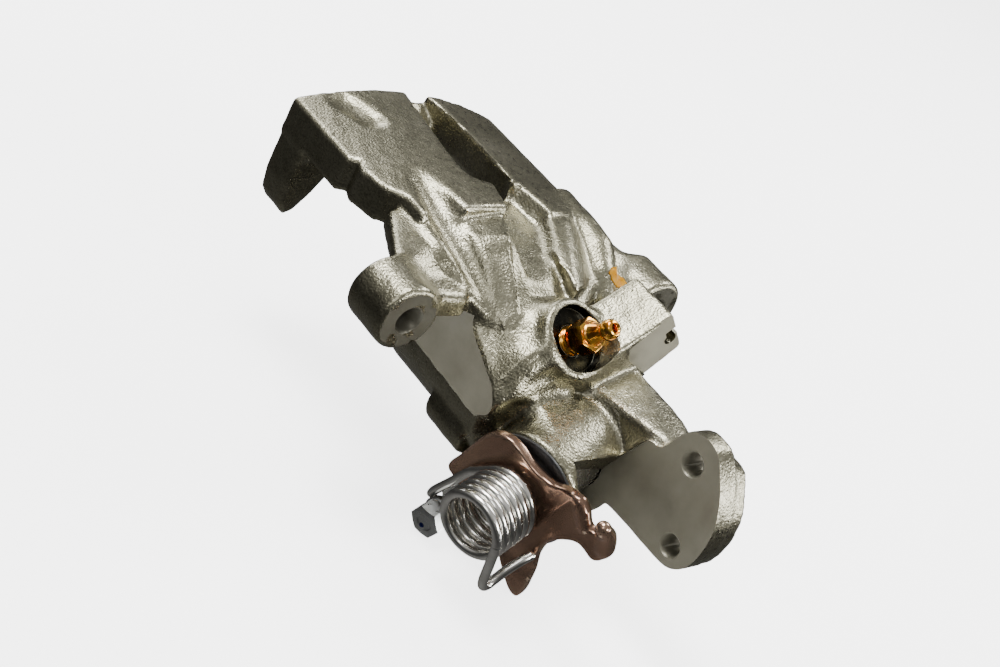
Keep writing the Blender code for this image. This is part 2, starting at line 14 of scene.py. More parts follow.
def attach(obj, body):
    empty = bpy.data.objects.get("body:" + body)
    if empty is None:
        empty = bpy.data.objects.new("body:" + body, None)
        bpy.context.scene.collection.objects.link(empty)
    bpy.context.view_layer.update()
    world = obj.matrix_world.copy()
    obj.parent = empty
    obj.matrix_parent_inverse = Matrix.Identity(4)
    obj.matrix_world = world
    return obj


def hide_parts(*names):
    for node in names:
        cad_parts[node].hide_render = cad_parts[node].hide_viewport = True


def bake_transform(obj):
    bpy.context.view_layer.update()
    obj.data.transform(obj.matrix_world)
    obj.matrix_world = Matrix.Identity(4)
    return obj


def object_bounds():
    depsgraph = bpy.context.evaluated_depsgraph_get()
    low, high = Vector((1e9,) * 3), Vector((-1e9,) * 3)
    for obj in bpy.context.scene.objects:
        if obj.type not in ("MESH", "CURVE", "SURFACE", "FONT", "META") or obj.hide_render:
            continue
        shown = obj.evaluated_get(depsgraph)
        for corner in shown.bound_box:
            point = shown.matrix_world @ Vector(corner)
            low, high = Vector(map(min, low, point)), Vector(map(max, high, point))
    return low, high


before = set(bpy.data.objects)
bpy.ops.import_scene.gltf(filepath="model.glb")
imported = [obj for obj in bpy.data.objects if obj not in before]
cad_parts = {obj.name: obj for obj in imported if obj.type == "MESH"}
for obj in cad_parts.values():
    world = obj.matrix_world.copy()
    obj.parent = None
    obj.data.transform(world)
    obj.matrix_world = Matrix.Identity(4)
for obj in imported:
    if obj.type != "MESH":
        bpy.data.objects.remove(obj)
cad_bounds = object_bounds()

MM = 0.001
DATUM_Y = -37.0
PI = math.pi


def vec(*xyz):
    return np.array(xyz, dtype=np.float64)


def unit(v):
    v = np.asarray(v, dtype=np.float64)
    return v / np.linalg.norm(v)


X_AXIS, Y_AXIS, Z_AXIS = vec(1, 0, 0), vec(0, 1, 0), vec(0, 0, 1)

# Parking-brake shaft: a point on its axis, and its outward, rearward and upward directions.
SHAFT_POINT = vec(0.0, -36.2, -8.9)
SHAFT_AXIS = unit((-0.9422, -0.2606, -0.2105))
SHAFT_REAR = unit(-Y_AXIS + SHAFT_AXIS * SHAFT_AXIS[1])
SHAFT_UP = np.cross(SHAFT_AXIS, SHAFT_REAR)
SHAFT_FRAME = (SHAFT_POINT, SHAFT_REAR, SHAFT_UP, SHAFT_AXIS)

SHAFT_FACE, SHAFT_BORE_R = 19.0, 11.0
ANCHOR = (-20.5, -22.5)  # the anchor bolt's place: rearward and upward from the shaft

BLEEDER_SEAT = vec(2.0, -15.8, 25.1)
BLEEDER_AXIS = unit((0.0, -0.6293, 0.7771))
SPOT_FACE_R, SPOT_FACE_DEPTH = 11.3, 3.0
PORT_AXIS, PORT_SIDE = unit((1, 0, 1)), unit((1, 0, -1))
PORT_Y, PORT_FACE_Y = -15.0, -24.9
EAR_X, EAR_Z, EAR_R, EAR_LENGTH, EAR_HOLE_R = 56.0, 22.0, 11.5, 18.0, 4.3
BRACKET_FRONT_X, BRACKET_BACK_X = 8.0, 21.0
BRACKET_HOLES = (((-71.7, 21.6), 3.8), ((-80.4, -4.3), 3.6))  # (y, z) and radius
FLANK_X, FINGER_FACE_Y, MOUTH_Y = -26.0, 84.0, 35.0
HEX_ACROSS, NUT_ACROSS = 10.0, 12.0

# Grid steps of the two distance fields, fine and quick.
CAST_STEPS, LEVER_STEPS = (0.95, 1.3), (0.45, 0.75)
FAR = 30.0  # a field's value away from every shape
BLEND_REACH = 4.0  # how far past its box and its blend a shape is worked out

BACKDROP_GLOW = 3.2
ROOM_GLOW = 0.9
ROOM_GREYS = ((0.0, 0.22), (0.2, 0.10), (0.34, 0.04), (0.56, 0.07), (0.74, 0.29), (1.0, 0.60))
NEAR = 0.03  # a face this close to a milled plane belongs to it
LIGHTS = (
    ("key", (-0.24, 0.36, 1.10), (0, 0, 0), (0.5, 0.5), 17),
    ("side", (0.85, 0.05, 0.80), (0, 0, 0), (0.4, 0.4), 7),
    ("front", (0.20, -1.05, 0.55), (0, 0, 0), (0.35, 0.35), 9),
    ("left", (-0.9, -0.35, 0.9), (0, 0, 0), (0.3, 0.5), 2),
    ("low", (1.0, -0.8, 0.16), (0, -0.05, 0), (0.8, 0.28), 8),
    ("back", (0.15, 1.15, 0.55), (0, 0, 0), (0.7, 0.5), 8),
)


def on_shaft(along, rear=0.0, up=0.0):
    return SHAFT_POINT + SHAFT_AXIS * along + SHAFT_REAR * rear + SHAFT_UP * up


def frame_of(origin, axis):
    """A local frame (origin, side, other side, axis) whose first side leans towards +Z."""
    axis = unit(axis)
    guide = Z_AXIS if abs(axis[2]) < 0.9 else X_AXIS
    side = unit(guide - axis * guide.dot(axis))
    return (np.asarray(origin, dtype=np.float64), side, np.cross(axis, side), axis)


WORLD_FRAME = (vec(0, 0, 0), X_AXIS, Y_AXIS, Z_AXIS)


# ---------------------------------------------------------------- meshes

def place(points, local=WORLD_FRAME):
    """Local millimetres to frame metres."""
    points = np.asarray(points, dtype=np.float64)
    origin, a, b, c = local
    datum = origin + points[:, :1] * a + points[:, 1:2] * b + points[:, 2:3] * c
    datum[:, 1] += DATUM_Y
    return datum * MM


def new_object(name, verts, faces, sharp=None, recalc=False):
    mesh = bpy.data.meshes.new(name)
    mesh.from_pydata([tuple(v) for v in verts], [], [tuple(f) for f in faces])
    if recalc:
        bm = bmesh.new()
        bm.from_mesh(mesh)
        bmesh.ops.remove_doubles(bm, verts=bm.verts[:], dist=1e-7)
        bmesh.ops.recalc_face_normals(bm, faces=bm.faces[:])
        bm.to_mesh(mesh)
        bm.free()
    mesh.shade_smooth()
    if sharp:
        mesh.set_sharp_from_angle(angle=math.radians(sharp))
    obj = bpy.data.objects.new(name, mesh)
    bpy.context.scene.collection.objects.link(obj)
    return obj


def lathe(name, profile, local, count=64, sharp=40, wobble=None):
    """A (radius, height) profile turned round the local frame's third axis."""
    verts, rings = [], []
    for r, h in profile:
        ring = []
        if r < 1e-6:
            ring = [len(verts)] * count
            verts.append((0, 0, h))
        else:
            for i in range(count):
                a = 2 * PI * i / count
                rr, hh = (r, h) if wobble is None else wobble(r, h, a)
                ring.append(len(verts))
                verts.append((rr * math.cos(a), rr * math.sin(a), hh))
        rings.append(ring)
    faces = []
    closed = profile[0][0] > 1e-6 and profile[-1][0] > 1e-6
    pairs = list(zip(rings, rings[1:])) + ([(rings[-1], rings[0])] if closed else [])
    for low, high in pairs:
        for i in range(count):
            j = (i + 1) % count
            face = []
            for v in (low[i], low[j], high[j], high[i]):
                if v not in face:
                    face.append(v)
            if len(face) > 2:
                faces.append(face)
    return new_object(name, place(verts, local), faces, sharp, recalc=True)


def prism(name, outline, start, end, local, sharp=30):
    n = len(outline)
    verts = [(u, w, start) for u, w in outline] + [(u, w, end) for u, w in outline]
    faces = [list(range(n))[::-1], list(range(n, 2 * n))]
    faces += [(i, (i + 1) % n, n + (i + 1) % n, n + i) for i in range(n)]
    return new_object(name, place(verts, local), faces, sharp, recalc=True)


def block(name, low, high):
    """A cutting block between two corners."""
    outline = [(low[0], low[1]), (high[0], low[1]), (high[0], high[1]), (low[0], high[1])]
    return prism(name, outline, low[2], high[2], WORLD_FRAME)


def tube(name, path, radius, sides=18):
    """A round wire along a path of millimetre points, with domed ends."""
    path = [np.asarray(p, dtype=np.float64) for p in path]
    n = len(path)
    tangents = [unit(path[min(i + 1, n - 1)] - path[max(i - 1, 0)]) for i in range(n)]
    guide = SHAFT_AXIS if abs(tangents[0].dot(SHAFT_AXIS)) < 0.9 else Z_AXIS
    side = unit(np.cross(tangents[0], guide))
    rows = []
    for p, t in zip(path, tangents):
        side = unit(side - t * side.dot(t))
        rows.append((p, radius, side, np.cross(t, side)))
    dome = [(0.5, 0.87), (0.87, 0.5)]
    head = [(path[0] - tangents[0] * radius * f, radius * g, *rows[0][2:]) for f, g in dome[::-1]]
    tail = [(path[-1] + tangents[-1] * radius * f, radius * g, *rows[-1][2:]) for f, g in dome]
    rows = head + rows + tail
    verts, faces = [], []
    for c, r, a, b in rows:
        for k in range(sides):
            angle = 2 * PI * k / sides
            verts.append(c + a * r * math.cos(angle) + b * r * math.sin(angle))
    for i in range(len(rows) - 1):
        for k in range(sides):
            j = (k + 1) % sides
            faces.append((i * sides + k, i * sides + j, (i + 1) * sides + j, (i + 1) * sides + k))
    verts.append(path[0] - tangents[0] * radius)
    verts.append(path[-1] + tangents[-1] * radius)
    first, last = len(verts) - 2, len(verts) - 1
    end = (len(rows) - 1) * sides
    for k in range(sides):
        j = (k + 1) % sides
        faces.append((j, k, first))
        faces.append((end + k, end + j, last))
    return new_object(name, place(verts), faces, None, recalc=True)


def spline_point(a, b, c, d, t):
    """A point between b and c on the Catmull-Rom curve through a, b, c and d."""
    return 0.5 * (2 * b + (c - a) * t + (2 * a - 5 * b + 4 * c - d) * t * t
                  + (3 * b - a - 3 * c + d) * t ** 3)


def smooth_path(points, per=8):
    """A smooth open path through the points."""
    points = [np.asarray(p, dtype=np.float64) for p in points]
    ext = [2 * points[0] - points[1]] + points + [2 * points[-1] - points[-2]]
    spans = range(1, len(ext) - 2)
    return [spline_point(*ext[i - 1:i + 3], k / per) for i in spans for k in range(per)] + [points[-1]]


def curved_outline(points, per=3):
    """A smooth closed outline through the points."""
    pts = [np.asarray(p, dtype=np.float64) for p in points]
    n = len(pts)
    return [spline_point(pts[i - 1], pts[i], pts[(i + 1) % n], pts[(i + 2) % n], k / per)
            for i in range(n) for k in range(per)]


def shade(obj, sharp):
    """Smooth shading, with edges crisp above an angle in degrees."""
    obj.data.shade_smooth()
    obj.data.set_sharp_from_angle(angle=math.radians(sharp))


def boolean(obj, other, operation="DIFFERENCE"):
    """Cut or add another object with MANIFOLD, or with EXACT where that has no effect."""
    other.data.materials.clear()
    mod = obj.modifiers.new("shape", "BOOLEAN")
    mod.operation = operation
    mod.object = other
    for solver in ("MANIFOLD", "EXACT"):
        mod.solver = solver
        depsgraph = bpy.context.evaluated_depsgraph_get()
        mesh = bpy.data.meshes.new_from_object(obj.evaluated_get(depsgraph))
        if len(mesh.polygons) > 8 and len(mesh.polygons) != len(obj.data.polygons):
            break
    else:
        print("boolean without effect:", other.name)
    obj.modifiers.clear()
    old = obj.data
    obj.data = mesh
    bpy.data.meshes.remove(old)
    bpy.data.objects.remove(other, do_unlink=True)


# ---------------------------------------------------------------- distance fields

class Field:
    """A signed distance field on a regular grid, negative inside the metal."""

    def __init__(self, low, high, step):
        self.low = np.asarray(low, dtype=np.float64)
        self.step = step
        self.size = np.ceil((np.asarray(high) - self.low) / step).astype(int) + 1
        self.values = np.full(self.size, FAR, dtype=np.float32)
        self.axes = [(self.low[i] + step * np.arange(self.size[i])).astype(np.float32) for i in range(3)]

    def window(self, low, high, pad):
        first = np.floor((np.asarray(low) - pad - self.low) / self.step).astype(int)
        last = np.ceil((np.asarray(high) + pad - self.low) / self.step).astype(int) + 1
        first = np.clip(first, 0, self.size)
        last = np.clip(last, 0, self.size)
        where = tuple(slice(a, b) for a, b in zip(first, last))
        x, y, z = (self.axes[i][where[i]] for i in range(3))
        return where, x[:, None, None], y[None, :, None], z[None, None, :]

    def add(self, shape, blend=3.0):
        where, x, y, z = self.window(shape.low, shape.high, blend + BLEND_REACH)
        self.values[where] = soft_min(self.values[where], shape.at(x, y, z), blend)

    def cut(self, shape, blend=1.5):
        where, x, y, z = self.window(shape.low, shape.high, blend + BLEND_REACH)
        self.values[where] = -soft_min(-self.values[where], shape.at(x, y, z), blend)

    def mesh(self, name, local=WORLD_FRAME):
        verts, quads = surface_net(self.values)
        verts = verts * self.step + self.low
        return new_object(name, place(verts, local), quads)


def soft_min(a, b, k):
    if k <= 0:
        return np.minimum(a, b)
    h = np.clip(0.5 + 0.5 * (b - a) / k, 0, 1)
    return (b + (a - b) * h - k * h * (1 - h)).astype(np.float32)


def surface_net(values):
    """One vertex in each cell that the surface crosses, one quad on each crossed edge."""
    inside = values < 0
    corners = [(i, j, k) for i in (0, 1) for j in (0, 1) for k in (0, 1)]
    size = values.shape
    part = [inside[i:size[0] - 1 + i, j:size[1] - 1 + j, k:size[2] - 1 + k] for i, j, k in corners]
    some = part[0].copy()
    every = part[0].copy()
    for p in part[1:]:
        some |= p
        every &= p
    cells = np.argwhere(some & ~every)
    index = np.full((size[0] - 1, size[1] - 1, size[2] - 1), -1, dtype=np.int64)
    index[tuple(cells.T)] = np.arange(len(cells))
    total = np.zeros((len(cells), 3))
    count = np.zeros(len(cells))
    for axis in range(3):
        for corner in corners:
            if corner[axis]:
                continue
            other = list(corner)
            other[axis] = 1
            a = values[tuple((cells + corner).T)].astype(np.float64)
            b = values[tuple((cells + other).T)].astype(np.float64)
            cross = (a < 0) != (b < 0)
            t = np.where(cross, a / np.where(cross, a - b, 1), 0)
            point = np.tile(np.array(corner, dtype=np.float64), (len(cells), 1))
            point[:, axis] = t
            total += point * cross[:, None]
            count += cross
    verts = cells + total / count[:, None]
    quads = []
    for axis in range(3):
        u, v = (axis + 1) % 3, (axis + 2) % 3
        low = [slice(1, s - 1) for s in size]
        low[axis] = slice(0, size[axis] - 1)
        high = list(low)
        high[axis] = slice(1, size[axis])
        a, b = inside[tuple(low)], inside[tuple(high)]
        crossed = np.argwhere(a != b)
        flip = a[tuple(crossed.T)]
        base = crossed + 1
        base[:, axis] -= 1
        ring = []
        for du, dv in ((0, 0), (-1, 0), (-1, -1), (0, -1)):
            cell = base.copy()
            cell[:, u] += du
            cell[:, v] += dv
            ring.append(index[tuple(cell.T)])
        quad = np.stack(ring, 1)
        quad[~flip] = quad[~flip][:, ::-1]
        quads.append(quad)
    return verts, np.concatenate(quads)


class Shape:
    def __init__(self, low, high, at):
        self.low, self.high, self.at = np.asarray(low), np.asarray(high), at


def hull(points, round_by=2.0):
    """The convex solid round the points, with softened edges."""
    points = np.asarray(points, dtype=np.float64)
    bm = bmesh.new()
    for p in points:
        bm.verts.new(p)
    bmesh.ops.convex_hull(bm, input=bm.verts[:])
    bm.normal_update()
    centre = points.mean(0)
    planes = []
    for face in bm.faces:
        n = np.array(face.normal)
        d = n.dot(np.array(face.verts[0].co))
        if n.dot(centre) > d:
            n, d = -n, -d
        if not any(n.dot(m) > 0.9995 and abs(d - e) < 0.2 for m, e in planes):
            planes.append((n, d))
    bm.free()

    def at(x, y, z):
        out = None
        for n, d in planes:
            value = np.float32(n[0]) * x + np.float32(n[1]) * y + np.float32(n[2]) * z - np.float32(d)
            out = value if out is None else -soft_min(-out, -value, round_by)
        return out
    return Shape(points.min(0), points.max(0), at)


def cylinder(origin, axis, radius, start, end, round_by=1.2):
    origin, axis = np.asarray(origin, dtype=np.float64), unit(axis)
    ends = np.array([origin + axis * start, origin + axis * end])
    middle, half = (start + end) / 2, (end - start) / 2

    def at(x, y, z):
        px, py, pz = x - origin[0], y - origin[1], z - origin[2]
        s = px * axis[0] + py * axis[1] + pz * axis[2]
        radial = np.sqrt(np.maximum(px * px + py * py + pz * pz - s * s, 0))
        return rounded(radial - radius, np.abs(s - middle) - half, round_by)
    return Shape(ends.min(0) - radius, ends.max(0) + radius, at)


def rounded(a, b, r):
    """Where two distances meet in a convex edge of radius r."""
    a, b = a + r, b + r
    return (np.minimum(np.maximum(a, b), 0) + np.sqrt(np.maximum(a, 0) ** 2 + np.maximum(b, 0) ** 2) - r)


def spar(points, radii, squash=1.0):
    """Tapered round bars from point to point; squash below 1 makes them low in Z."""
    points = np.asarray(points, dtype=np.float64)
    reach = max(radii)

    def at(x, y, z):
        out = None
        for a, b, ra, rb in zip(points, points[1:], radii, radii[1:]):
            d = b - a
            px, py, pz = x - a[0], y - a[1], z - a[2]
            t = np.clip((px * d[0] + py * d[1] + pz * d[2]) / d.dot(d), 0, 1)
            qx, qy, qz = px - t * d[0], py - t * d[1], (pz - t * d[2]) / squash
            value = (np.sqrt(qx * qx + qy * qy + qz * qz) - (ra + (rb - ra) * t)) * min(1.0, squash)
            out = value if out is None else np.minimum(out, value)
        return out.astype(np.float32)
    return Shape(points.min(0) - reach, points.max(0) + reach, at)


def polygon_distance(u, w, outline):
    """Signed distance in the plane to a closed outline, negative inside."""
    pts = np.asarray(outline, dtype=np.float64)
    best = np.full(np.broadcast(u, w).shape, 1e9)
    inside = np.zeros(best.shape, dtype=bool)
    for a, b in zip(pts, np.roll(pts, -1, axis=0)):
        d = b - a
        t = np.clip(((u - a[0]) * d[0] + (w - a[1]) * d[1]) / d.dot(d), 0, 1)
        best = np.minimum(best, (u - a[0] - t * d[0]) ** 2 + (w - a[1] - t * d[1]) ** 2)
        if a[1] != b[1]:
            hit = (a[1] > w) != (b[1] > w)
            inside ^= hit & (u < (b[0] - a[0]) * (w - a[1]) / (b[1] - a[1]) + a[0])
    return (np.sqrt(best) * np.where(inside, -1, 1)).astype(np.float32)


def slab(outline, start, end, along=1, round_by=1.5):
    """An outline in the two axes other than `along`, extruded along that axis."""
    pts = np.asarray(outline, dtype=np.float64)
    u_axis, w_axis = [i for i in range(3) if i != along]
    low, high = np.zeros(3), np.zeros(3)
    low[along], high[along] = start, end
    low[[u_axis, w_axis]], high[[u_axis, w_axis]] = pts.min(0), pts.max(0)
    middle, half = (start + end) / 2, (end - start) / 2

    def at(x, y, z):
        xyz = (x, y, z)
        flat = polygon_distance(xyz[u_axis], xyz[w_axis], outline)
        return rounded(flat, np.abs(xyz[along] - middle) - half, round_by)
    return Shape(low, high, at)


# ---------------------------------------------------------------- the casting

def cast_lumps(field):
    """The slight waviness that a sand mould leaves."""
    x, y, z = np.ix_(*field.axes)
    height = 0.11
    lumps = np.sin(x * 0.61 + y * 0.23) * np.sin(y * 0.53 - z * 0.31) * np.sin(z * 0.47 + x * 0.19)
    lumps = lumps + 0.6 * np.sin(x * 1.31 - z * 0.7) * np.sin(y * 1.17 + x * 0.4) * np.sin(z * 1.43 + y * 0.5)
    field.values += (height * lumps).astype(np.float32)


def arc_outline(left, right, outer, inner, top, lean, steps=18):
    """The bridge's section: two arcs with one centre, whose crown lies at x = lean."""
    above = [(left + (right - left) * i / steps) for i in range(steps + 1)]
    crown = [(x, top - outer + math.sqrt(outer * outer - (x - lean) ** 2)) for x in above]
    under = [(x, top - outer + math.sqrt(inner * inner - (x - lean) ** 2)) for x in above]
    return crown + under[::-1]


def add_barrel(f):
    """The cylinder, the boss round the parking-brake shaft, and the metal that joins them."""
    f.add(cylinder((0, 0, 0), Y_AXIS, 26.3, -17, MOUTH_Y, 1.5), 1)
    f.add(cylinder((0, 0, 0), Y_AXIS, 24.5, -21, 0, 4.0), 3)
    f.add(cylinder(SHAFT_POINT, SHAFT_AXIS, 18.5, -24, SHAFT_FACE, 1.6), 4)
    f.add(hull([(-20, -4, -14), (20, -4, -14), (-16, -34, -20), (14, -34, -20), (-20, -4, 14), (20, -4, 14),
                (-14, -40, 4), (14, -40, 4)], 6), 5)
    f.add(cylinder((-16, 0, -16.5), Y_AXIS, 8.4, -14, 6.2, 2.2), 1.5)
    lower = [(-28, 32, 0), (27, 32, 0), (-28, -21, -3), (27, -18, 0)]
    upper = [(-28, 33, 31), (27, 33, 34), (-27, 8, 22), (27, 6, 27), (-27, -3, 17), (-27, -22, 4),
             (20, -20, 8), (-10, -24, 14), (10, -20, 20)]
    f.add(hull(lower + upper, 3.0), 3)


def add_bleeder_boss(f):
    f.add(cylinder(BLEEDER_SEAT, BLEEDER_AXIS, 13.6, -22, 0.4, 1.6), 4)
    f.add(hull([(-19, -5, 22), (-5, -6, 30.5), (-20, -14, 12), (-21, -22, 7), (0, -27, 9), (6, -10, 27),
                (-6, 4, 27), (-20, 2, 22), (0, -10, 0), (-16, -10, 0)], 2.2), 3)


def add_port_boss(f):
    points = []
    for along, half in ((12, 13.0), (32, 10.6), (49.6, 9.8)):
        for y in (-26.2, -5.0):
            for sign in (-1, 1):
                points.append(PORT_AXIS * along + PORT_SIDE * half * sign + Y_AXIS * y)
    f.add(hull(points, 1.6), 3.5)


def add_ears(f):
    """The two guide-pin ears and the arms that carry them."""
    for side in (-1, 1):
        x = side * EAR_X
        f.add(cylinder((x, 0, EAR_Z), Y_AXIS, EAR_R, 0.0, EAR_LENGTH, 1.8), 0)
        f.add(hull([(x, 4, 14), (x, 4, 30), (x, 16, 14), (x, 16, 30), (side * 30, 3, 11), (side * 30, 3, 27),
                    (side * 24, 22, 10), (side * 26, 22, 30)], 3), 4)
        f.add(hull([(x, 8, 24), (x, 16, 32), (side * 30, 16, 26), (side * 30, 40, 26), (side * 42, 42, 34),
                    (side * 42, 42, 26), (side * 30, 42, 38), (side * 30, 18, 34)], 3), 4)


def meet(a, b, round_by=1.5):
    """What two shapes share, with a softened edge."""
    return Shape(np.maximum(a.low, b.low), np.minimum(a.high, b.high),
                 lambda x, y, z: rounded(a.at(x, y, z), b.at(x, y, z), round_by))


def add_bridge(f):
    """The arched bridge, full width over the disc and waisted nearer the cylinder."""
    arch = slab(arc_outline(-60, 60, 150, 137.6, 43.0, -5), 30, 98.9, round_by=1.2)
    plan = slab([(-46.0, 101), (-46.0, 63.5), (-43.0, 61), (-44.8, 56.5), (-42.2, 45.5), (-38, 40.5),
                 (-38, 30), (44, 30), (46.8, 52), (46.8, 101)], -10, 60, along=2, round_by=0.8)
    f.add(meet(arch, plan, 1.6), 0)
    root = [(-38, 45, 37.2), (-38.5, 21, 36.8), (-34, 11, 30.5), (-27.5, 3, 20), (-38, 44, 22), (-37, 18, 20),
            (-28, 6, 12), (40, 42, 38.5), (38, 14, 33), (34, 8, 26), (40, 42, 22), (30, 6, 14), (14, -6, 27),
            (-20, -4, 20), (36, 24, 38)]
    f.add(hull(root, 2.6), 2.5)


def add_root_ribs(f):
    """Ribs and hollows that run from the bridge down to the cylinder."""
    f.cut(spar([(-28, 60, 48), (-28.5, 46, 45.5), (-28.5, 32, 43.0), (-27, 20, 38.6), (-25.0, 8, 32),
                (-24, -2, 26), (-23.5, -10, 21)], [3.4, 6.0, 7.4, 6.8, 5.2, 3.6, 2.4]), 2.0)
    f.add(hull([(-20, 56, 38.5), (-7.7, 55, 40.2), (-3.0, 45, 40.8), (-1.5, 36, 40.8), (-4.5, 26, 40.4),
                (-9, 18, 39.6), (-20, 18, 34.8), (-20.5, 26, 37), (-20, 30, 28), (-2, 34, 28), (-12, 5, 24)],
               1.0), 1.4)
    f.add(hull([(-20.5, 24, 36.4), (-20.5, 2, 25.5), (-9, 20, 39.8), (-12.5, 6, 33.4), (-14, -3, 26.5),
                (-19.5, -4, 22), (-14, 4, 18), (-9, 24, 24)], 1.0), 1.4)
    f.add(hull([(13.5, 50, 40.5), (41, 46, 39), (24, 34, 40.5), (25.5, 29, 40.5), (16, 14, 38.6),
                (7, -3, 34.6), (15, 0, 33), (22, 14, 37), (10, 0, 26), (36, 20, 28), (38, 40, 28),
                (14, 44, 30)], 1.0), 1.4)
    valley = [(-1, 47, 50), (20, 46, 50), (24, 31, 50), (16, 13, 50), (3, -4, 50), (-11, 0, 50),
              (-8.5, 16, 50), (-4, 27, 50), (-1, 36, 50), (4, 46, 35.5), (13, 45, 35.5), (16, 32, 35),
              (9, 14, 34), (-2, -3, 30.5), (-7, 2, 30), (-3, 18, 33.5), (1, 30, 35)]
    f.cut(hull(valley, 1.4), 1.0)
    f.cut(spar([(5, 27, 38.5), (4, 15, 37)], [5.6, 5.2], squash=0.8), 1.0)
    f.cut(spar([(28.5, 36, 46.5), (28, 24, 45.0), (26, 12, 41.5), (22, 0, 36)], [3.0, 5.2, 5.2, 3.6]), 1.5)
    f.add(spar([(38, 44, 34), (36.5, 30, 34), (36, 20, 33), (33, 11, 29), (30, 4, 24)], [6, 6.5, 6.5, 6, 4]),
          2.5)


def add_fingers(f):
    """The two fingers that press on the outer pad."""
    left = [(-17, 38), (-30, 36), (-45, 33), (-46.2, 22), (-46.2, 11), (-44.8, 2.6), (-41.8, -1.2),
            (-38.2, 0.6), (-34.5, 6), (-30.5, 14), (-25, 22), (-18, 27)]
    right = [(24, 38), (34, 36), (46, 32), (47.2, 22), (47, 12), (45, 4), (42.5, 0.8), (39.8, 2.4), (37.2, 8),
             (35.0, 15), (32.5, 23), (25, 29)]
    f.add(slab(left, 83.6, 98.5, round_by=2.4), 2.0)
    f.add(slab(right, 83.6, 98.5, round_by=2.4), 2.0)


def add_window(f):
    """The long opening in the bridge, with a sloped far end, and a shallow hollow on the left arm."""
    opening = [(-1.5, 90), (-3.2, 80), (-5.8, 66.5), (-7.2, 56), (-7.0, 49), (-3, 45.5), (4, 44.5), (11, 45),
               (13.4, 49), (13.9, 64), (13.9, 76), (13, 87), (11.5, 91), (4, 92)]
    f.cut(slab(opening, 10, 60, along=2, round_by=0.2), 1.0)
    f.cut(hull([(0.5, 101, 41.2), (10, 101, 40.6), (-2, 89, 33), (12.5, 89, 33), (0.5, 101, 50),
                (10, 101, 50), (-2, 89, 50), (12.5, 89, 50)], 0.5), 1.0)
    f.cut(spar([(-31.5, 92, 42.1), (-27.5, 82, 42.4)], [7.0, 6.4], squash=0.45), 0.6)


def add_bracket(f):
    """The cable bracket, its arm, and the hollow along the arm."""
    outline = [(-59.5, 17.0), (-61.8, 22.5), (-64.0, 27.8), (-67.6, 30.8), (-72, 31.6), (-77, 30.6),
               (-81.6, 26.2), (-86.4, 19.4), (-90, 11.4), (-90.6, 1.7), (-88.4, -6.4), (-83, -10.9),
               (-74, -11.6), (-66, -11.6), (-56, -12), (-48, -12.6), (-42.6, -12.2), (-46, -3), (-50.4, 8.2),
               (-53.8, 15.2)]
    f.add(slab(curved_outline(outline), BRACKET_FRONT_X - 1.4, BRACKET_BACK_X - 5, along=0, round_by=0.4), 0)
    back = [(BRACKET_FRONT_X + 2, y, z) for y, z in outline[1:14]]
    back += [(BRACKET_BACK_X + 0.8, y, min(z, 26.0)) for y, z in outline[1:14]]
    f.add(hull(back + [(BRACKET_BACK_X, -60, 16), (BRACKET_BACK_X, -60, -8)], 1.2), 0)
    f.add(hull([(7, -24, 13), (25.5, -22, 20.8), (7, -24, -12), (24, -24, -12), (9.5, -63, 20),
                (20.5, -63, 20.5), (9.5, -63, -4), (20.5, -63, -6), (9, -31, 14), (26.4, -30, 20),
                (26.4, -50, 19.4), (24, -40, -9)], 2.0), 2.5)
    f.cut(spar([(5.6, -21, 4.5), (4.8, -31, 4.0), (4.8, -38, 0), (5.4, -42, -6), (6, -43, -14)], [1.8, 2.8,
                                                                                                  3.0, 2.8,
                                                                                                  2.2]), 1.5)


def add_anchor_lug(f):
    f.add(cylinder(on_shaft(0, *ANCHOR), SHAFT_AXIS, 6.6, 8, SHAFT_FACE, 1.2), 0)
    points = []
    for along in (7.0, 17.5):
        points += [on_shaft(along, -24, -18), on_shaft(along, -15, -25), on_shaft(along, -4, -14),
                   on_shaft(along, -12, -4)]
    f.add(hull(points, 2.5), 3)


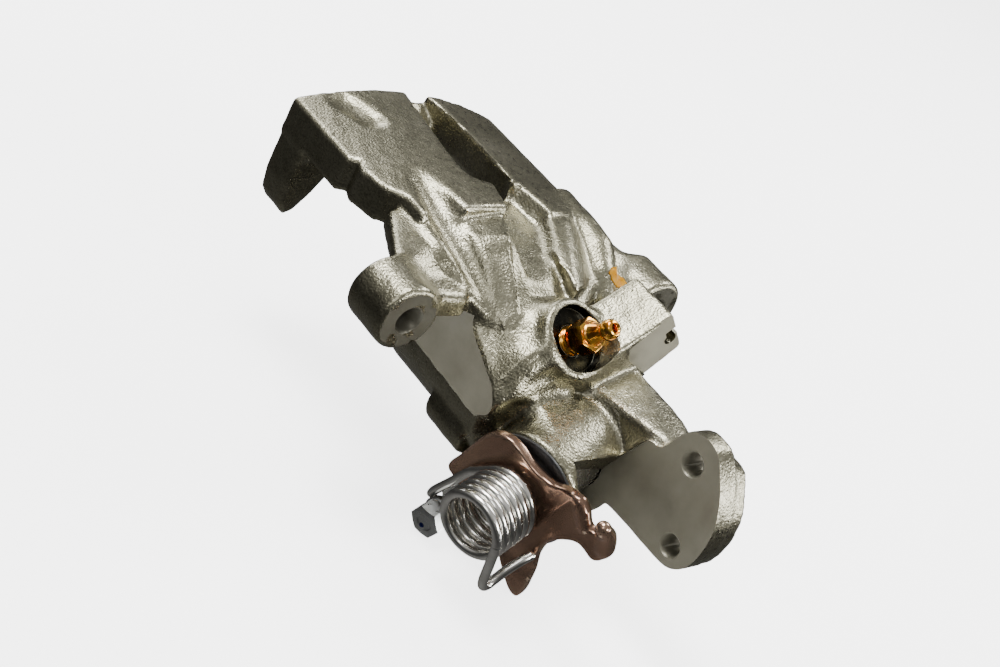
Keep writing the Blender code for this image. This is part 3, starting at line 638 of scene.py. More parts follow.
def machine(housing):
    """Bores and faces, cut crisply into the casting."""
    origin = (0, 0, 0)

    def turn(name, profile, centre, axis, count=72):
        boolean(housing, lathe(name, profile, frame_of(centre, axis), count))

    def mill(name, outline, start, end, local):
        boolean(housing, prism(name, outline, start, end, local))

    full = [(0, -16), (13, -16), (13, -4.5), (14, -4.5), (14, -2.8), (13, -2.8), (13, -2), (17.5, -2)]
    full += [(17.5, 24.3), (20.6, 24.3), (20.6, 28), (17.5, 28), (17.5, 31), (22.3, 31), (22.3, 33.6)]
    full += [(21, 33.6), (21, 40), (0, 40)]
    boolean(housing, block("cut_flank", (-45, -34, -46), (FLANK_X, 22.5, 20.5)))
    milled = [(-96, -20), (-39, -20), (-41.9, -12.5), (-50.4, 8.2), (-53.8, 15.6), (-57.5, 17.2), (-60, 40),
              (-96, 40)]
    mill("cut_bracket_face", milled, -14, BRACKET_FRONT_X, (vec(*origin), Y_AXIS, Z_AXIS, X_AXIS))
    faced = [(15.5, 28.5), (18.6, 23.6), (37.8, 13.4), (52, 6), (52, 50), (30, 50), (24, 38)]
    mill("cut_port_face", faced, -60, PORT_FACE_Y, (vec(*origin), X_AXIS, Z_AXIS, Y_AXIS))
    boolean(housing, block("cut_finger_face", (-52, 60, -12), (52, FINGER_FACE_Y, 20)))
    turn("cut_bore", full, origin, Y_AXIS)
    turn("cut_spindle", [(0, -41), (6.1, -41), (6.1, -15), (0, -15)], origin, Y_AXIS, 48)
    shaft = [(0, -21), (SHAFT_BORE_R, -21), (SHAFT_BORE_R, SHAFT_FACE - 0.8),
             (SHAFT_BORE_R + 0.8, SHAFT_FACE)]
    turn("cut_shaft", shaft + [(SHAFT_BORE_R + 0.8, 30), (0, 30)], SHAFT_POINT, SHAFT_AXIS)
    seat = [(0, -19), (1.6, -19), (1.6, -13), (5.1, -9.5), (5.1, -SPOT_FACE_DEPTH),
            (SPOT_FACE_R, -SPOT_FACE_DEPTH)]
    turn("cut_bleeder", seat + [(SPOT_FACE_R, 12), (0, 12)], BLEEDER_SEAT, BLEEDER_AXIS)
    port = [(0, 14), (2, 14), (2, 36), (4.6, 38), (4.6, 60), (0, 60)]
    turn("cut_port", port, (0, PORT_Y + 6, 0), PORT_AXIS, 48)
    groove = PORT_AXIS * 46.5 + PORT_SIDE * 2.5
    turn("cut_port_groove", [(0, -30), (2.3, -30), (2.3, -20), (0, -20)], groove, Y_AXIS, 32)
    mill("cut_port_notch", [(-3.6, -1.6), (3.6, -1.6), (3.6, 1.6), (-3.6, 1.6)], -6, 6,
         (PORT_AXIS * 51.4 + Y_AXIS * PORT_FACE_Y, Y_AXIS, PORT_SIDE, PORT_AXIS))
    for side in (-1, 1):
        face = [(0, -8), (13.5, -8), (13.5, 0), (5.0, 0), (EAR_HOLE_R, 0.7), (EAR_HOLE_R, 32), (0, 32)]
        turn("cut_ear", face, (side * EAR_X, 0, EAR_Z), Y_AXIS, 48)
    for (y, z), radius in BRACKET_HOLES:
        hole = [(0, -5), (radius + 0.6, -5), (radius + 0.6, 0), (radius, 0.6), (radius, 24), (0, 24)]
        turn("cut_bracket", hole, (BRACKET_FRONT_X, y, z), X_AXIS, 40)
    turn("cut_anchor", [(0, 4), (3.3, 4), (3.3, 30), (0, 30)], on_shaft(0, *ANCHOR), SHAFT_AXIS, 32)


def make_housing():
    field = Field((-70, -94, -48), (70, 103, 47), CAST_STEPS[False])
    for add in (add_barrel, add_ears, add_bridge, add_root_ribs, add_fingers, add_window,
                add_bleeder_boss, add_port_boss, add_bracket, add_anchor_lug):
        add(field)
    # The gap that the brake disc runs in, with an arched ceiling.
    ceiling = [(x, -88.5 + math.sqrt(117.5 ** 2 - x * x)) for x in range(-60, 61, 6)]
    disc = slab([(60, -60)] + ceiling[::-1] + [(-60, -60)], 46, FINGER_FACE_Y, round_by=0.5)
    field.cut(disc, 2.5)
    cast_lumps(field)
    housing = field.mesh("housing_casting")
    machine(housing)
    shade(housing, 48)
    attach(housing, "caliper_body")
    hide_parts("caliper_housing")
    return housing


# ---------------------------------------------------------------- parking-brake lever and spring

LEVER_OUTLINE = [(-22.2, 0.2), (-24.9, -5.4), (-24.6, -8.0), (-22.4, -9.3), (-16, -11.6), (-8, -14.5),
                 (-1, -16.8), (5.4, -23.4), (9.4, -28.6), (12.4, -31.0), (15.0, -30.8), (16.3, -26.6),
                 (16.5, -20.6), (15.6, -12.0), (17.0, -5.4), (19.4, -1.4), (23.7, 2.4), (26.9, 3.7),
                 (29.6, 3.0), (32.4, 1.9), (35.0, 3.4), (36.9, 7.6), (36.3, 12.4), (33.8, 15.0), (31.2, 13.6),
                 (29.2, 12.0), (27.0, 12.2), (25.2, 15.8), (22.4, 18.2), (19.0, 18.5), (15.6, 16.8),
                 (11.2, 14.7), (7.0, 14.6), (2.2, 15.7), (-3.4, 18.1), (-8, 18.8), (-12.2, 17.6),
                 (-15.4, 14.6), (-17.8, 10.6)]


def lever_middle(u, w):
    """How far along the shaft the pressed plate's middle lies: a joggle, then the hook."""
    rise = 1.9 * smooth_step(u - 0.42 * w, 8.0, 12.5)
    return 24.6 + rise + 1.3 * smooth_step(-w, 17.0, 24.0)


def smooth_step(value, start, end):
    t = np.clip((value - start) / (end - start), 0, 1)
    return t * t * (3 - 2 * t)


def make_lever():
    field = Field((-28, -34, 17), (41, 23, 34), LEVER_STEPS[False])
    outline = curved_outline(LEVER_OUTLINE)
    half = 1.9

    def plate(u, w, s):
        return rounded(polygon_distance(u, w, outline), np.abs(s - lever_middle(u, w)) - half, 1.0)

    field.add(Shape((-27, -33, 20), (40, 21, 29), plate), 0)
    field.add(spar([(34.6, 8.2, 26.6), (34.0, 13.4, 27.2), (32.9, 17.0, 29.6)], [2.7, 2.6, 2.5]), 1.6)
    field.add(spar([(21.8, 16.4, 26.5), (23.8, 14.6, 26.9), (26.0, 10.6, 26.8)], [2.2, 2.3, 2.1]), 1.2)
    field.cut(spar([(29.9, 13.5, 20), (29.9, 13.5, 34)], [1.9, 1.9]), 0.8)
    lever = field.mesh("lever_pressing", SHAFT_FRAME)
    boolean(lever, prism("cut_tenon", lever_hole(6.3, 4.9), 10, 40, SHAFT_FRAME))
    shade(lever, 50)
    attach(lever, "lever_assembly")
    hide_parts("parking_lever")
    return lever


def lever_hole(radius, flat, steps=12):
    reach = math.asin(flat / radius)
    right = [reach * (2 * i / steps - 1) for i in range(steps + 1)]
    return [(radius * math.cos(a), radius * math.sin(a)) for a in right + [PI + b for b in right]]


def make_spring():
    """A coil whose rear leg bears on the anchor bolt, and whose front leg hooks back to the lever."""
    radius, wire, pitch, back, turns = 10.8, 1.6, 3.35, 29.4, 5
    start = math.radians(135)
    sweep = start + 2 * PI * turns
    front = back + pitch * sweep / (2 * PI)
    leg = [(-25.6, -18.2), (-24.6, -15.8), (-20.3, -8.6), (-16.4, -1.6), (-12.6, 4.0)]
    rear_leg = smooth_path([on_shaft(back, u, w) for u, w in leg], 6)
    coil, steps = [], 260
    for i in range(steps + 1):
        angle = start - sweep * i / steps
        along = back + (front - back) * i / steps
        coil.append(on_shaft(along, radius * math.cos(angle), radius * math.sin(angle)))
    spring = tube("spring_coil", rear_leg[:-3] + coil, wire)
    place([on_shaft(back)])[0]
    place([on_shaft(front - 1.0)])[0]
    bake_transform(spring)
    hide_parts("return_spring")
    hook = [(0, 10.8, 1.2), (0, 10.8, -1.5), (0.3, 10.6, -8.0), (0.8, 10.3, -15.0), (2.2, 10.2, -18.6),
            (4.6, 10.3, -19.8), (7.2, 10.8, -18.6), (10.5, 12.0, -15.6), (14.5, 13.6, -12.6),
            (17.6, 14.6, -11.4)]
    path = smooth_path([on_shaft(front - behind, u, w) for behind, u, w in hook], 8)
    end = tube("spring_front_leg", path, wire)
    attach(end, "lever_assembly")
    return [spring, end]


def hexagon(across_flats):
    corner = across_flats / math.sqrt(3)
    return [(corner * math.cos(PI / 3 * i), corner * math.sin(PI / 3 * i)) for i in range(6)]


def chamfered_hex(name, across_flats, start, end, local):
    """A hexagon whose corners are turned off, as a nut's or a bolt head's are."""
    hexa = prism(name, hexagon(across_flats), start, end, local)
    corner, flat = across_flats / math.sqrt(3), across_flats / 2
    drop = 0.5 * (corner - flat)
    profile = [(0, start), (flat * 0.97, start), (corner + 0.1, start + drop), (corner + 0.1, end - drop),
               (flat * 0.97, end), (0, end)]
    boolean(hexa, lathe(name + "_turned", profile, local, 96), "INTERSECT")
    return hexa


def make_anchor_bolt():
    local = (on_shaft(0, *ANCHOR), SHAFT_REAR, SHAFT_UP, SHAFT_AXIS)
    bolt = chamfered_hex("anchor_bolt", HEX_ACROSS, 31.2, 37.4, local)
    collar = [(0, 5.9), (2.6, 5.9), (3.0, 6.4), (3.0, 19.3), (3.9, 19.5), (3.9, 27.4), (5.2, 28.0),
              (5.6, 28.8), (5.6, 30.4), (5.2, 31.0), (4.0, 31.3), (0, 31.6)]
    boolean(bolt, lathe("collar", collar, local, 64), "UNION")
    dish = [(0, 37.1), (2.6, 37.1), (3.1, 37.5), (3.1, 39), (0, 39)]
    boolean(bolt, lathe("dish", dish, local, 64))
    shade(bolt, 25)
    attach(bolt, "caliper_body")
    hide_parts("spring_anchor_bolt")
    return bolt


def thread(pitch, depth, start, end):
    """A wobble that turns a plain profile into a helical thread between two heights."""
    def wobble(r, h, angle):
        if not start <= h <= end:
            return r, h
        phase = (h / pitch - angle / (2 * PI)) % 1.0
        fade = min(1.0, (h - start) / pitch, (end - h) / pitch)
        return r - depth * fade * (0.5 + 0.5 * math.cos(2 * PI * phase)), h
    return wobble


def make_bleeder():
    local = frame_of(BLEEDER_SEAT, BLEEDER_AXIS)
    rows = [(0, -12.2), (1.0, -12.2), (3.9, -9.4), (4.4, -8.8), (4.85, -8.2)]
    rows += [(4.85, -8.0 + 0.2 * i) for i in range(1, 40)]
    rows += [(4.0, 0.1), (3.9, 0.6), (3.9, 0.9)]
    rows += [(3.9, 6.5), (4.3, 6.85), (4.2, 7.3), (3.75, 7.7), (3.4, 9.0), (2.95, 10.6), (2.7, 11.8),
             (2.75, 12.3), (3.1, 12.8), (3.35, 13.4), (3.4, 14.2), (3.35, 15.1), (3.15, 15.9), (2.8, 16.5),
             (2.35, 16.9), (1.7, 17.0), (1.4, 16.7), (1.25, 16.2), (1.25, 2.0), (0, 1.6)]
    pitch, depth = 1.25, 0.62
    body = lathe("bleeder", rows, local, 72, 35, thread(pitch, depth, -7.8, -0.3))
    hexa = chamfered_hex("bleeder_hex", HEX_ACROSS, 0.8, 7.1, local)
    boolean(hexa, lathe("hex_core", [(0, -4), (3.6, -4), (3.6, 16), (0, 16)], local, 48))
    bm = bmesh.new()
    bm.from_mesh(body.data)
    bm.from_mesh(hexa.data)
    bm.to_mesh(body.data)
    bm.free()
    bpy.data.objects.remove(hexa, do_unlink=True)
    shade(body, 33)
    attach(body, "bleeder")
    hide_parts("bleeder_screw")
    return body


def make_spot_face():
    """The dark counterbore round the bleeder: a floor with turning marks, and its wall."""
    profile = [(5.3, -3.02), (11.28, -3.02), (11.28, -0.1), (11.05, -0.05), (10.9, -0.3), (10.8, -2.4),
               (10.5, -2.75)]
    profile += [(10.5 - 0.35 * i, -2.75 + (0.05 if i % 2 else 0.0)) for i in range(1, 15)] + [(5.4, -2.8),
                                                                                              (5.3, -2.9)]
    spot = lathe("bleeder_spot_face", profile, frame_of(BLEEDER_SEAT, BLEEDER_AXIS), 96, 60)
    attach(spot, "caliper_body")
    return spot


def make_shaft_boot():
    """The black seal behind the lever: a flange, a rounded shoulder and a lip."""
    profile = [(8.15, 19.3), (16.8, 19.3), (17.8, 19.4), (18.6, 19.7), (18.9, 20.2), (18.8, 20.8),
               (18.2, 21.1), (16.6, 21.2), (15.4, 21.0), (14.3, 21.2), (13.4, 21.8), (12.2, 22.15),
               (11.0, 22.0), (10.2, 21.6), (9.2, 21.9), (8.15, 22.1)]
    boot = lathe("shaft_dust_seal", profile, SHAFT_FRAME, 96, 50)
    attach(boot, "caliper_body")
    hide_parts("shaft_boot")
    return boot


def make_lever_nut():
    nut = chamfered_hex("shaft_nut", NUT_ACROSS, 29.3, 35.1, SHAFT_FRAME)
    boolean(nut, lathe("nut_bore", [(0, 20), (4.15, 20), (4.15, 50), (0, 50)], SHAFT_FRAME, 64))
    shade(nut, 25)
    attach(nut, "lever_assembly")
    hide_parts("lever_nut")
    return nut


def make_paint_dab(housing):
    """An inspector's dab of orange paint, raised on the casting by the right ear."""
    centre = place([(34.6, 2.7, 33.0)])[0]
    bm = bmesh.new()
    bm.from_mesh(housing.data)
    bm.faces.ensure_lookup_table()
    across, along = unit((0.718, -0.554, 0.421)), unit((0.036, 0.634, 0.773))
    outline = [(-4.4, 3.4), (-3.0, 5.2), (-0.6, 4.4), (1.2, 2.2), (2.2, -0.6), (3.4, -2.6), (4.3, -4.4),
               (3.6, -5.2), (1.8, -4.2), (0.2, -2.6), (-1.6, -1.6), (-3.2, -0.2), (-4.0, 1.4)]
    middles = np.array([f.calc_center_median() for f in bm.faces]) - centre
    middles /= MM
    inside = polygon_distance(middles @ across, middles @ along, curved_outline(outline)) < 0
    reach = (np.linalg.norm(middles, axis=1) < 12) & (middles[:, 1] > -8.5)
    toward = np.array([f.normal for f in bm.faces]) @ np.cross(across, along) > 0.1
    keep = [bm.faces[i] for i in np.nonzero(inside & reach & toward)[0]]
    chosen = set(keep)
    bmesh.ops.delete(bm, geom=[f for f in bm.faces if f not in chosen], context="FACES")
    rim = [v for v in bm.verts if v.is_boundary]
    bmesh.ops.smooth_vert(bm, verts=rim, factor=0.5, use_axis_x=True, use_axis_y=True, use_axis_z=True)
    mesh = bpy.data.meshes.new("paint_dab")
    bm.to_mesh(mesh)
    bm.free()
    mesh.materials.clear()
    dab = bpy.data.objects.new("paint_dab", mesh)
    bpy.context.scene.collection.objects.link(dab)
    thick = dab.modifiers.new("thick", "SOLIDIFY")
    thick.thickness = 0.45 * MM
    thick.offset = 0.6
    mesh_out = bpy.data.meshes.new_from_object(dab.evaluated_get(bpy.context.evaluated_depsgraph_get()))
    dab.modifiers.clear()
    dab.data = mesh_out
    dab.data.shade_smooth()
    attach(dab, "caliper_body")
    return dab


# ---------------------------------------------------------------- materials

class Nodes:
    """A small builder for one node tree."""

    def __init__(self, tree):
        self.tree = tree

    def node(self, kind, **values):
        made = self.tree.nodes.new(kind)
        for key, value in values.items():
            if key in made.inputs:
                made.inputs[key].default_value = value
            else:
                setattr(made, key, value)
        return made

    def link(self, a, b):
        self.tree.links.new(a, b)

    def ramp(self, value, stops):
        made = self.node("ShaderNodeValToRGB")
        self.link(value, made.inputs["Fac"])
        while len(made.color_ramp.elements) < len(stops):
            made.color_ramp.elements.new(0.5)
        for element, (at, colour) in zip(made.color_ramp.elements, stops):
            element.position = at
            element.color = (*colour, 1)
        return made.outputs["Color"]

    def span(self, value, low, high, out_low, out_high):
        made = self.node("ShaderNodeMapRange")
        self.link(value, made.inputs["Value"])
        for key, number in zip(("From Min", "From Max", "To Min", "To Max"), (low, high, out_low, out_high)):
            made.inputs[key].default_value = number
        return made.outputs["Result"]

    def mix(self, factor, a, b, kind="MIX"):
        made = self.node("ShaderNodeMix", data_type="RGBA", blend_type=kind)
        sockets = [s for s in made.inputs if s.enabled]
        for socket, value in zip(sockets, (factor, a, b)):
            if isinstance(value, bpy.types.NodeSocket):
                self.link(value, socket)
            else:
                socket.default_value = value if isinstance(value, float) else (*value, 1)
        return [s for s in made.outputs if s.enabled][0]


class Surface(Nodes):
    """One procedural material; its patterns are in object space, in metres."""

    def __init__(self, name, metallic, roughness, colour):
        self.material = bpy.data.materials.new(name)
        self.material.use_nodes = True
        super().__init__(self.material.node_tree)
        self.shader = self.tree.nodes["Principled BSDF"]
        self.shader.inputs["Metallic"].default_value = metallic
        self.shader.inputs["Roughness"].default_value = roughness
        self.shader.inputs["Base Color"].default_value = (*colour, 1)
        self.where = self.node("ShaderNodeTexCoord").outputs["Object"]
        self.normal = None

    def noise(self, scale, detail=4.0, rough=0.55, where=None):
        made = self.node("ShaderNodeTexNoise", Scale=scale, Detail=detail, Roughness=rough)
        self.link(where or self.where, made.inputs["Vector"])
        return made.outputs["Fac"]

    def stretched(self, scale):
        made = self.node("ShaderNodeMapping", Scale=scale)
        self.link(self.where, made.inputs["Vector"])
        return made.outputs["Vector"]

    def bump(self, height, strength, distance):
        made = self.node("ShaderNodeBump", Strength=strength, Distance=distance)
        self.link(height, made.inputs["Height"])
        if self.normal is not None:
            self.link(self.normal, made.inputs["Normal"])
        self.normal = made.outputs["Normal"]
        self.link(self.normal, self.shader.inputs["Normal"])

    def edges(self, low, high):
        """Bright where an edge is worn, from the curvature of the surface."""
        made = self.node("ShaderNodeNewGeometry")
        return self.span(made.outputs["Pointiness"], low, high, 0.0, 1.0)

    def colour(self, socket):
        self.link(socket, self.shader.inputs["Base Color"])

    def roughness(self, scale, detail, low, high):
        """Roughness between two values, in a noise of the given scale."""
        value = self.span(self.noise(scale, detail), 0.3, 0.7, low, high)
        self.link(value, self.shader.inputs["Roughness"])


def cast_zinc():
    m = Surface("cast_zinc_plated", 1.0, 0.4, (0.6, 0.58, 0.52))
    broad = m.noise(38, 3)
    tone = m.ramp(broad, [(0.3, (0.27, 0.255, 0.185)), (0.55, (0.36, 0.34, 0.255)),
                          (0.75, (0.45, 0.425, 0.335))])
    grains = m.noise(1500, 2.5, 0.6)
    speck = m.ramp(grains, [(0.34, (0.62, 0.61, 0.57)), (0.5, (0.90, 0.90, 0.87)), (0.64, (1.0, 1.0, 0.98))])
    m.colour(m.mix(0.85, tone, speck, "MULTIPLY"))
    m.roughness(600, 2, 0.26, 0.36)
    m.bump(m.noise(330, 1.0, 0.4), 0.15, 0.0005)
    m.bump(m.noise(1300, 1.0, 0.4), 0.45, 0.0004)
    return m


def machined_zinc(name, shade):
    m = Surface(name, 0.6, 0.4, (0.5, 0.48, 0.42))
    cloud = m.noise(60, 4, 0.6)
    # shade scales the colour: the milled zinc's own tone, and for the ear and port faces painted shade and
    # painted highlight.
    tones = ((0.3, (0.31, 0.29, 0.215)), (0.6, (0.40, 0.38, 0.29)), (0.8, (0.46, 0.445, 0.36)))
    m.colour(m.ramp(cloud, [(at, tuple(c * shade for c in tone)) for at, tone in tones]))
    m.roughness(240, 3, 0.30, 0.46)
    m.bump(m.noise(900, 2, 0.5, m.stretched((0.15, 0.3, 4.0))), 0.25, 0.00006)
    m.bump(m.noise(420, 3), 0.2, 0.0001)
    return m


def smooth_metal(name, dark, light, rough_low, rough_high, scratch=0.2):
    m = Surface(name, 1.0, rough_low, light)
    cloud = m.noise(150, 4, 0.6)
    m.colour(m.ramp(cloud, [(0.32, dark), (0.62, light)]))
    m.roughness(500, 3, rough_low, rough_high)
    m.bump(m.noise(1500, 2, 0.5, m.stretched((0.3, 1.0, 1.0))), scratch, 0.00005)
    m.bump(m.noise(260, 2), 0.25, 0.00012)
    return m


def lever_chromate():
    m = Surface("bronze_chromate", 0.95, 0.2, (0.42, 0.29, 0.21))
    cloud = m.noise(45, 2)
    tone = m.ramp(cloud, [(0.3, (0.22, 0.135, 0.095)), (0.5, (0.30, 0.19, 0.135)),
                          (0.72, (0.40, 0.27, 0.195))])
    worn = m.mix(m.edges(0.52, 0.57), tone, (0.80, 0.62, 0.47))
    m.colour(worn)
    m.roughness(120, 1, 0.17, 0.21)
    m.bump(m.noise(260, 1, 0.4), 0.03, 0.0001)
    return m


def bleeder_chromate():
    m = Surface("yellow_chromate", 1.0, 0.2, (0.8, 0.5, 0.16))
    film = m.noise(230, 2, 0.5)
    m.colour(m.ramp(film, [(0.3, (0.66, 0.20, 0.03)), (0.45, (0.76, 0.33, 0.05)), (0.58, (0.80, 0.46, 0.08)),
                           (0.72, (0.72, 0.28, 0.10))]))
    m.roughness(600, 3, 0.13, 0.26)
    m.bump(m.noise(900, 2), 0.1, 0.00008)
    return m


def rubber():
    m = Surface("black_rubber", 0.0, 0.4, (0.012, 0.012, 0.012))
    m.colour(m.ramp(m.noise(300, 3), [(0.35, (0.008, 0.008, 0.009)), (0.7, (0.022, 0.021, 0.020))]))
    m.roughness(500, 3, 0.34, 0.55)
    m.bump(m.noise(1500, 3), 0.2, 0.00006)
    return m


def orange_paint():
    m = Surface("orange_paint", 0.0, 0.35, (0.95, 0.50, 0.02))
    m.shader.inputs["Specular IOR Level"].default_value = 0.2
    m.colour(m.ramp(m.noise(450, 3), [(0.3, (0.34, 0.13, 0.0)), (0.6, (0.42, 0.20, 0.0))]))
    m.roughness(600, 2, 0.25, 0.45)
    m.bump(m.noise(900, 2), 0.3, 0.0002)
    return m


def dark_face():
    m = Surface("dark_spot_face", 1.0, 0.2, (0.07, 0.065, 0.05))
    m.colour(m.ramp(m.noise(240, 3), [(0.35, (0.012, 0.012, 0.010)), (0.6, (0.035, 0.032, 0.022)),
                                      (0.8, (0.09, 0.07, 0.03))]))
    m.roughness(500, 2, 0.16, 0.3)
    m.bump(m.noise(1200, 2), 0.12, 0.00005)
    return m


def blue_mark(m, centre, radius):
    """A round inspection mark on a screw head, in paint."""
    away = m.node("ShaderNodeVectorMath", operation="DISTANCE")
    away.inputs[1].default_value = centre
    m.link(m.where, away.inputs[0])
    inside = m.span(away.outputs["Value"], radius * 0.9, radius * 1.1, 1.0, 0.0)
    bare = m.shader.inputs["Base Color"].links[0].from_socket
    m.colour(m.mix(inside, bare, (0.02, 0.03, 0.16)))


def from_axis(points, origin, axis):
    """How far each point lies along an axis, and away from it."""
    points = points - origin
    along = points @ axis
    return along, np.sqrt(np.maximum((points ** 2).sum(1) - along ** 2, 0))


def is_machined(p, n):
    """Which faces of the casting a tool has cut, from their middles and normals (datum millimetres)."""
    x, y, z = p.T
    s_along, s_away = from_axis(p, SHAFT_POINT, SHAFT_AXIS)
    b_along, b_away = from_axis(p, BLEEDER_SEAT, BLEEDER_AXIS)
    flank = (np.abs(x - FLANK_X) < NEAR) & (n[:, 0] < -0.99)
    ears = (np.abs(y) < NEAR) & (n[:, 1] < -0.99) & (np.abs(x) > 40)
    bore = (np.sqrt(x ** 2 + z ** 2) < 22.4) & (y > -16.1) & (y < 40)
    mouth = (np.abs(y - MOUTH_Y) < 0.1) & (n[:, 1] > 0.95)
    shaft = (s_away < 12) & (s_along > -22) & (s_along < 19.2)
    boss = (np.abs(s_along - SHAFT_FACE) < 0.15) & (n @ SHAFT_AXIS > 0.95)
    seat = (b_along > -3.05) & (b_along < 1.2) & (b_away < 11.4)
    tapped = (b_away < 5.3) & (b_along < -2.9) & (b_along > -20)
    plate = (np.abs(x - BRACKET_FRONT_X) < NEAR) & (n[:, 0] < -0.9) & (y < -30)
    fingers = (np.abs(y - FINGER_FACE_Y) < NEAR) & (n[:, 1] < -0.9)
    holes = np.zeros(len(p), dtype=bool)
    for side in (-1, 1):
        holes |= np.hypot(x - side * EAR_X, z - EAR_Z) < 5.1
    for (hole_y, hole_z), radius in BRACKET_HOLES:
        holes |= (np.hypot(y - hole_y, z - hole_z) < radius + 0.65) & (x > 7) & (x < 22)
    port = ((p @ PORT_AXIS) > 49.0) & (np.abs(p @ PORT_SIDE) < 12) & (y > -30) & (y < 0)
    port |= (np.abs(y - PORT_FACE_Y) < NEAR) & (n[:, 1] < -0.9) & (x > 14)
    return flank | ears | bore | mouth | shaft | boss | seat | tapped | plate | fingers | holes | port


def paint_housing(housing):
    """The cast skin and its milled faces, with the ear faces in a darker copy of the milled zinc as painted
    shade and the port face in a brighter copy as painted highlight.
    """
    mesh = housing.data
    mesh.materials.clear()
    # Colour factors: 0.47 is the milled zinc's own tone; 0.24 darkens the ear faces as painted shade; 0.9
    # brightens the port face as painted highlight.
    shades = (("machined_zinc", 0.47), ("machined_ear_zinc_painted_shade", 0.24), ("machined_port_zinc_painted_highlight", 0.9))
    for surface in [cast_zinc()] + [machined_zinc(*pair) for pair in shades]:
        mesh.materials.append(surface.material)
    count = len(mesh.polygons)
    centres, normals = np.empty(count * 3), np.empty(count * 3)
    mesh.polygons.foreach_get("center", centres)
    mesh.polygons.foreach_get("normal", normals)
    centres = centres.reshape(-1, 3) / MM - vec(0, DATUM_Y, 0)
    normals = normals.reshape(-1, 3)
    x, y, z = centres.T
    cut = is_machined(centres, normals)
    kind = cut.astype(np.int32)
    # Ear faces: a darker copy of the milled zinc, painted shade.
    kind[cut & (np.abs(x) > 40) & (y < 20)] = 2
    # Port face: a brighter copy of the milled zinc, painted highlight.
    kind[cut & (np.abs(y - PORT_FACE_Y) < NEAR) & (x > 14) & (z > 12)] = 3
    mesh.polygons.foreach_set("material_index", kind)
    square = (np.abs(normals).max(1) > 0.9995) | (np.abs(normals @ BLEEDER_AXIS) > 0.9995)
    mesh.polygons.foreach_set("use_smooth", ~(cut & square))


def paint(surface, *objects):
    for obj in objects:
        obj.data.materials.clear()
        obj.data.materials.append(surface.material)


# ---------------------------------------------------------------- stage

def area_light(name, position, target, size, power):
    data = bpy.data.lights.new(name, "AREA")
    data.shape = "RECTANGLE"
    data.size, data.size_y = size
    data.energy = power
    light = bpy.data.objects.new(name, data)
    light.location = position
    light.rotation_euler = (Vector(target) - Vector(position)).to_track_quat("-Z", "Y").to_euler()
    bpy.context.scene.collection.objects.link(light)


def make_floor(floor_z):
    """A pale floor that lights the part from below but is not seen in its reflections."""
    bm = bmesh.new()
    bmesh.ops.create_grid(bm, x_segments=8, y_segments=8, size=6.0)
    mesh = bpy.data.meshes.new("floor")
    bm.to_mesh(mesh)
    bm.free()
    floor = bpy.data.objects.new("floor", mesh)
    floor.location.z = floor_z
    bpy.context.scene.collection.objects.link(floor)
    m = Surface("pale_floor", 0.0, 0.9, (0.9, 0.9, 0.9))
    m.colour(m.ramp(m.noise(3, 2), [(0.3, (0.88, 0.88, 0.88)), (0.7, (0.92, 0.92, 0.92))]))
    floor.data.materials.append(m.material)
    floor.visible_glossy = False
    m.shader.inputs["Emission Color"].default_value = (1, 1, 1, 1)
    m.shader.inputs["Emission Strength"].default_value = BACKDROP_GLOW


def make_world():
    """A grey room for light and reflections, and a pale wall for the camera alone."""
    world = bpy.data.worlds.new("studio")
    world.use_nodes = True
    bpy.context.scene.world = world
    w = Nodes(world.node_tree)
    room = w.tree.nodes["Background"]
    split = w.node("ShaderNodeSeparateXYZ")
    w.link(w.node("ShaderNodeTexCoord").outputs["Generated"], split.inputs[0])
    height = w.span(split.outputs["Z"], -1.0, 1.0, 0.0, 1.0)
    greys = [(at, (grey, grey, grey * 0.98)) for at, grey in ROOM_GREYS]
    w.link(w.ramp(height, greys), room.inputs["Color"])
    room.inputs["Strength"].default_value = ROOM_GLOW
    wall = w.node("ShaderNodeBackground", Color=(1, 1, 1, 1), Strength=BACKDROP_GLOW)
    either = w.node("ShaderNodeMixShader")
    w.link(w.node("ShaderNodeLightPath").outputs["Is Camera Ray"], either.inputs[0])
    w.link(room.outputs[0], either.inputs[1])
    w.link(wall.outputs[0], either.inputs[2])
    w.link(either.outputs[0], w.tree.nodes["World Output"].inputs["Surface"])


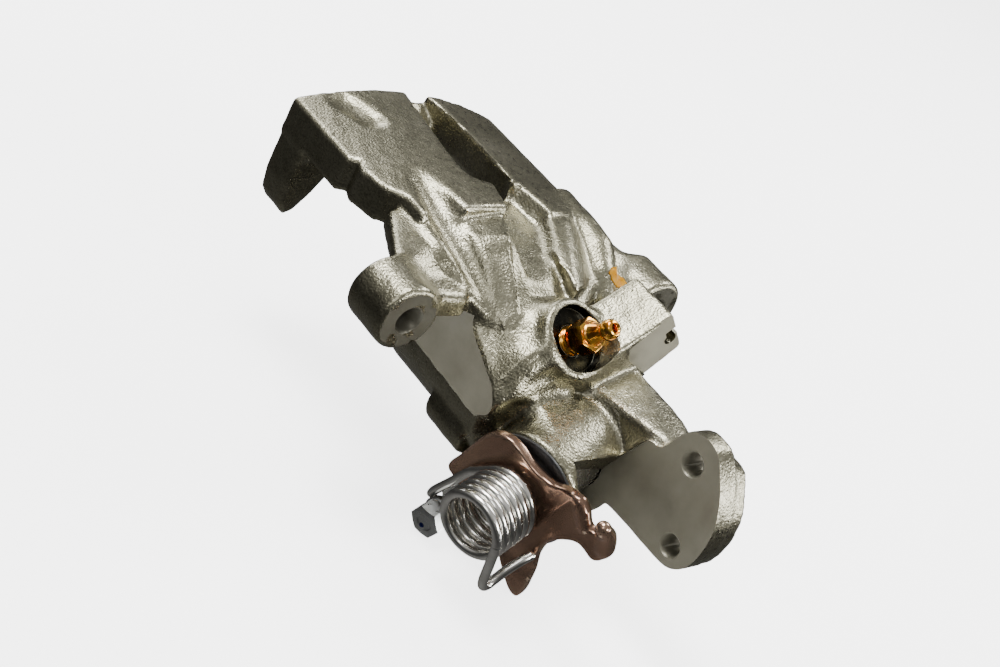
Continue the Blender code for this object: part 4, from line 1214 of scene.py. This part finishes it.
def make_camera():
    """The view: the camera's own right, up and backward directions, its place and its lens."""
    right, up, back = (0.7180, -0.5544, 0.4209), (0.0360, 0.6335, 0.7729), (-0.6951, -0.5398, 0.4748)
    data = bpy.data.cameras.new("camera")
    data.sensor_width = 36.0
    data.lens = 60.44
    data.clip_start, data.clip_end = 0.02, 30
    camera = bpy.data.objects.new("camera", data)
    turn = Matrix((right, up, back)).transposed()
    camera.matrix_world = Matrix.Translation((-0.3858, -0.3257, 0.2691)) @ turn.to_4x4()
    bpy.context.scene.collection.objects.link(camera)
    bpy.context.scene.camera = camera


def cad(*names):
    return [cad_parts[name] for name in names]


def main():
    housing = make_housing()
    dab = make_paint_dab(housing)
    paint_housing(housing)
    paint(orange_paint(), dab)
    zinc = smooth_metal("bright_zinc", (0.74, 0.72, 0.67), (0.90, 0.88, 0.83), 0.14, 0.24)
    paint(zinc, *make_spring(), make_lever_nut(), *cad("lever_washer", "anchor_washer"))
    bolt_zinc = smooth_metal("bolt_zinc", (0.46, 0.47, 0.46), (0.60, 0.61, 0.60), 0.24, 0.38)
    paint(bolt_zinc, make_anchor_bolt())
    blue_mark(bolt_zinc, place([on_shaft(37.2, -21.2, -24.4)])[0], 0.9 * MM)
    paint(lever_chromate(), make_lever())
    paint(bleeder_chromate(), make_bleeder())
    paint(dark_face(), make_spot_face())
    paint(rubber(), make_shaft_boot(), *cad("dust_boot", "piston_seal", "shaft_seal", "spindle_o_ring"))
    ground = smooth_metal("ground_steel", (0.50, 0.50, 0.49), (0.64, 0.64, 0.62), 0.18, 0.32, 0.3)
    paint(ground, *cad("piston", "cam_shaft", "push_strut"))
    phosphate = smooth_metal("phosphate_steel", (0.12, 0.12, 0.115), (0.2, 0.2, 0.19), 0.4, 0.55)
    paint(phosphate, *cad("adjuster_spindle", "adjuster_nut"))
    sprung = smooth_metal("spring_steel", (0.3, 0.3, 0.31), (0.45, 0.45, 0.45), 0.25, 0.4)
    paint(sprung, *cad("nut_thrust_washer", "nut_retaining_ring", "spring_cup", "bore_retaining_ring",
                       "adjuster_spring"))
    bronze = smooth_metal("bronze_bush", (0.50, 0.32, 0.14), (0.66, 0.45, 0.22), 0.28, 0.42)
    paint(bronze, *cad("shaft_bush_inner", "shaft_bush_outer"))
    make_floor(float(cad_bounds[0][2]) - 0.0005)
    make_world()
    for light in LIGHTS:
        area_light(*light)
    make_camera()


main()
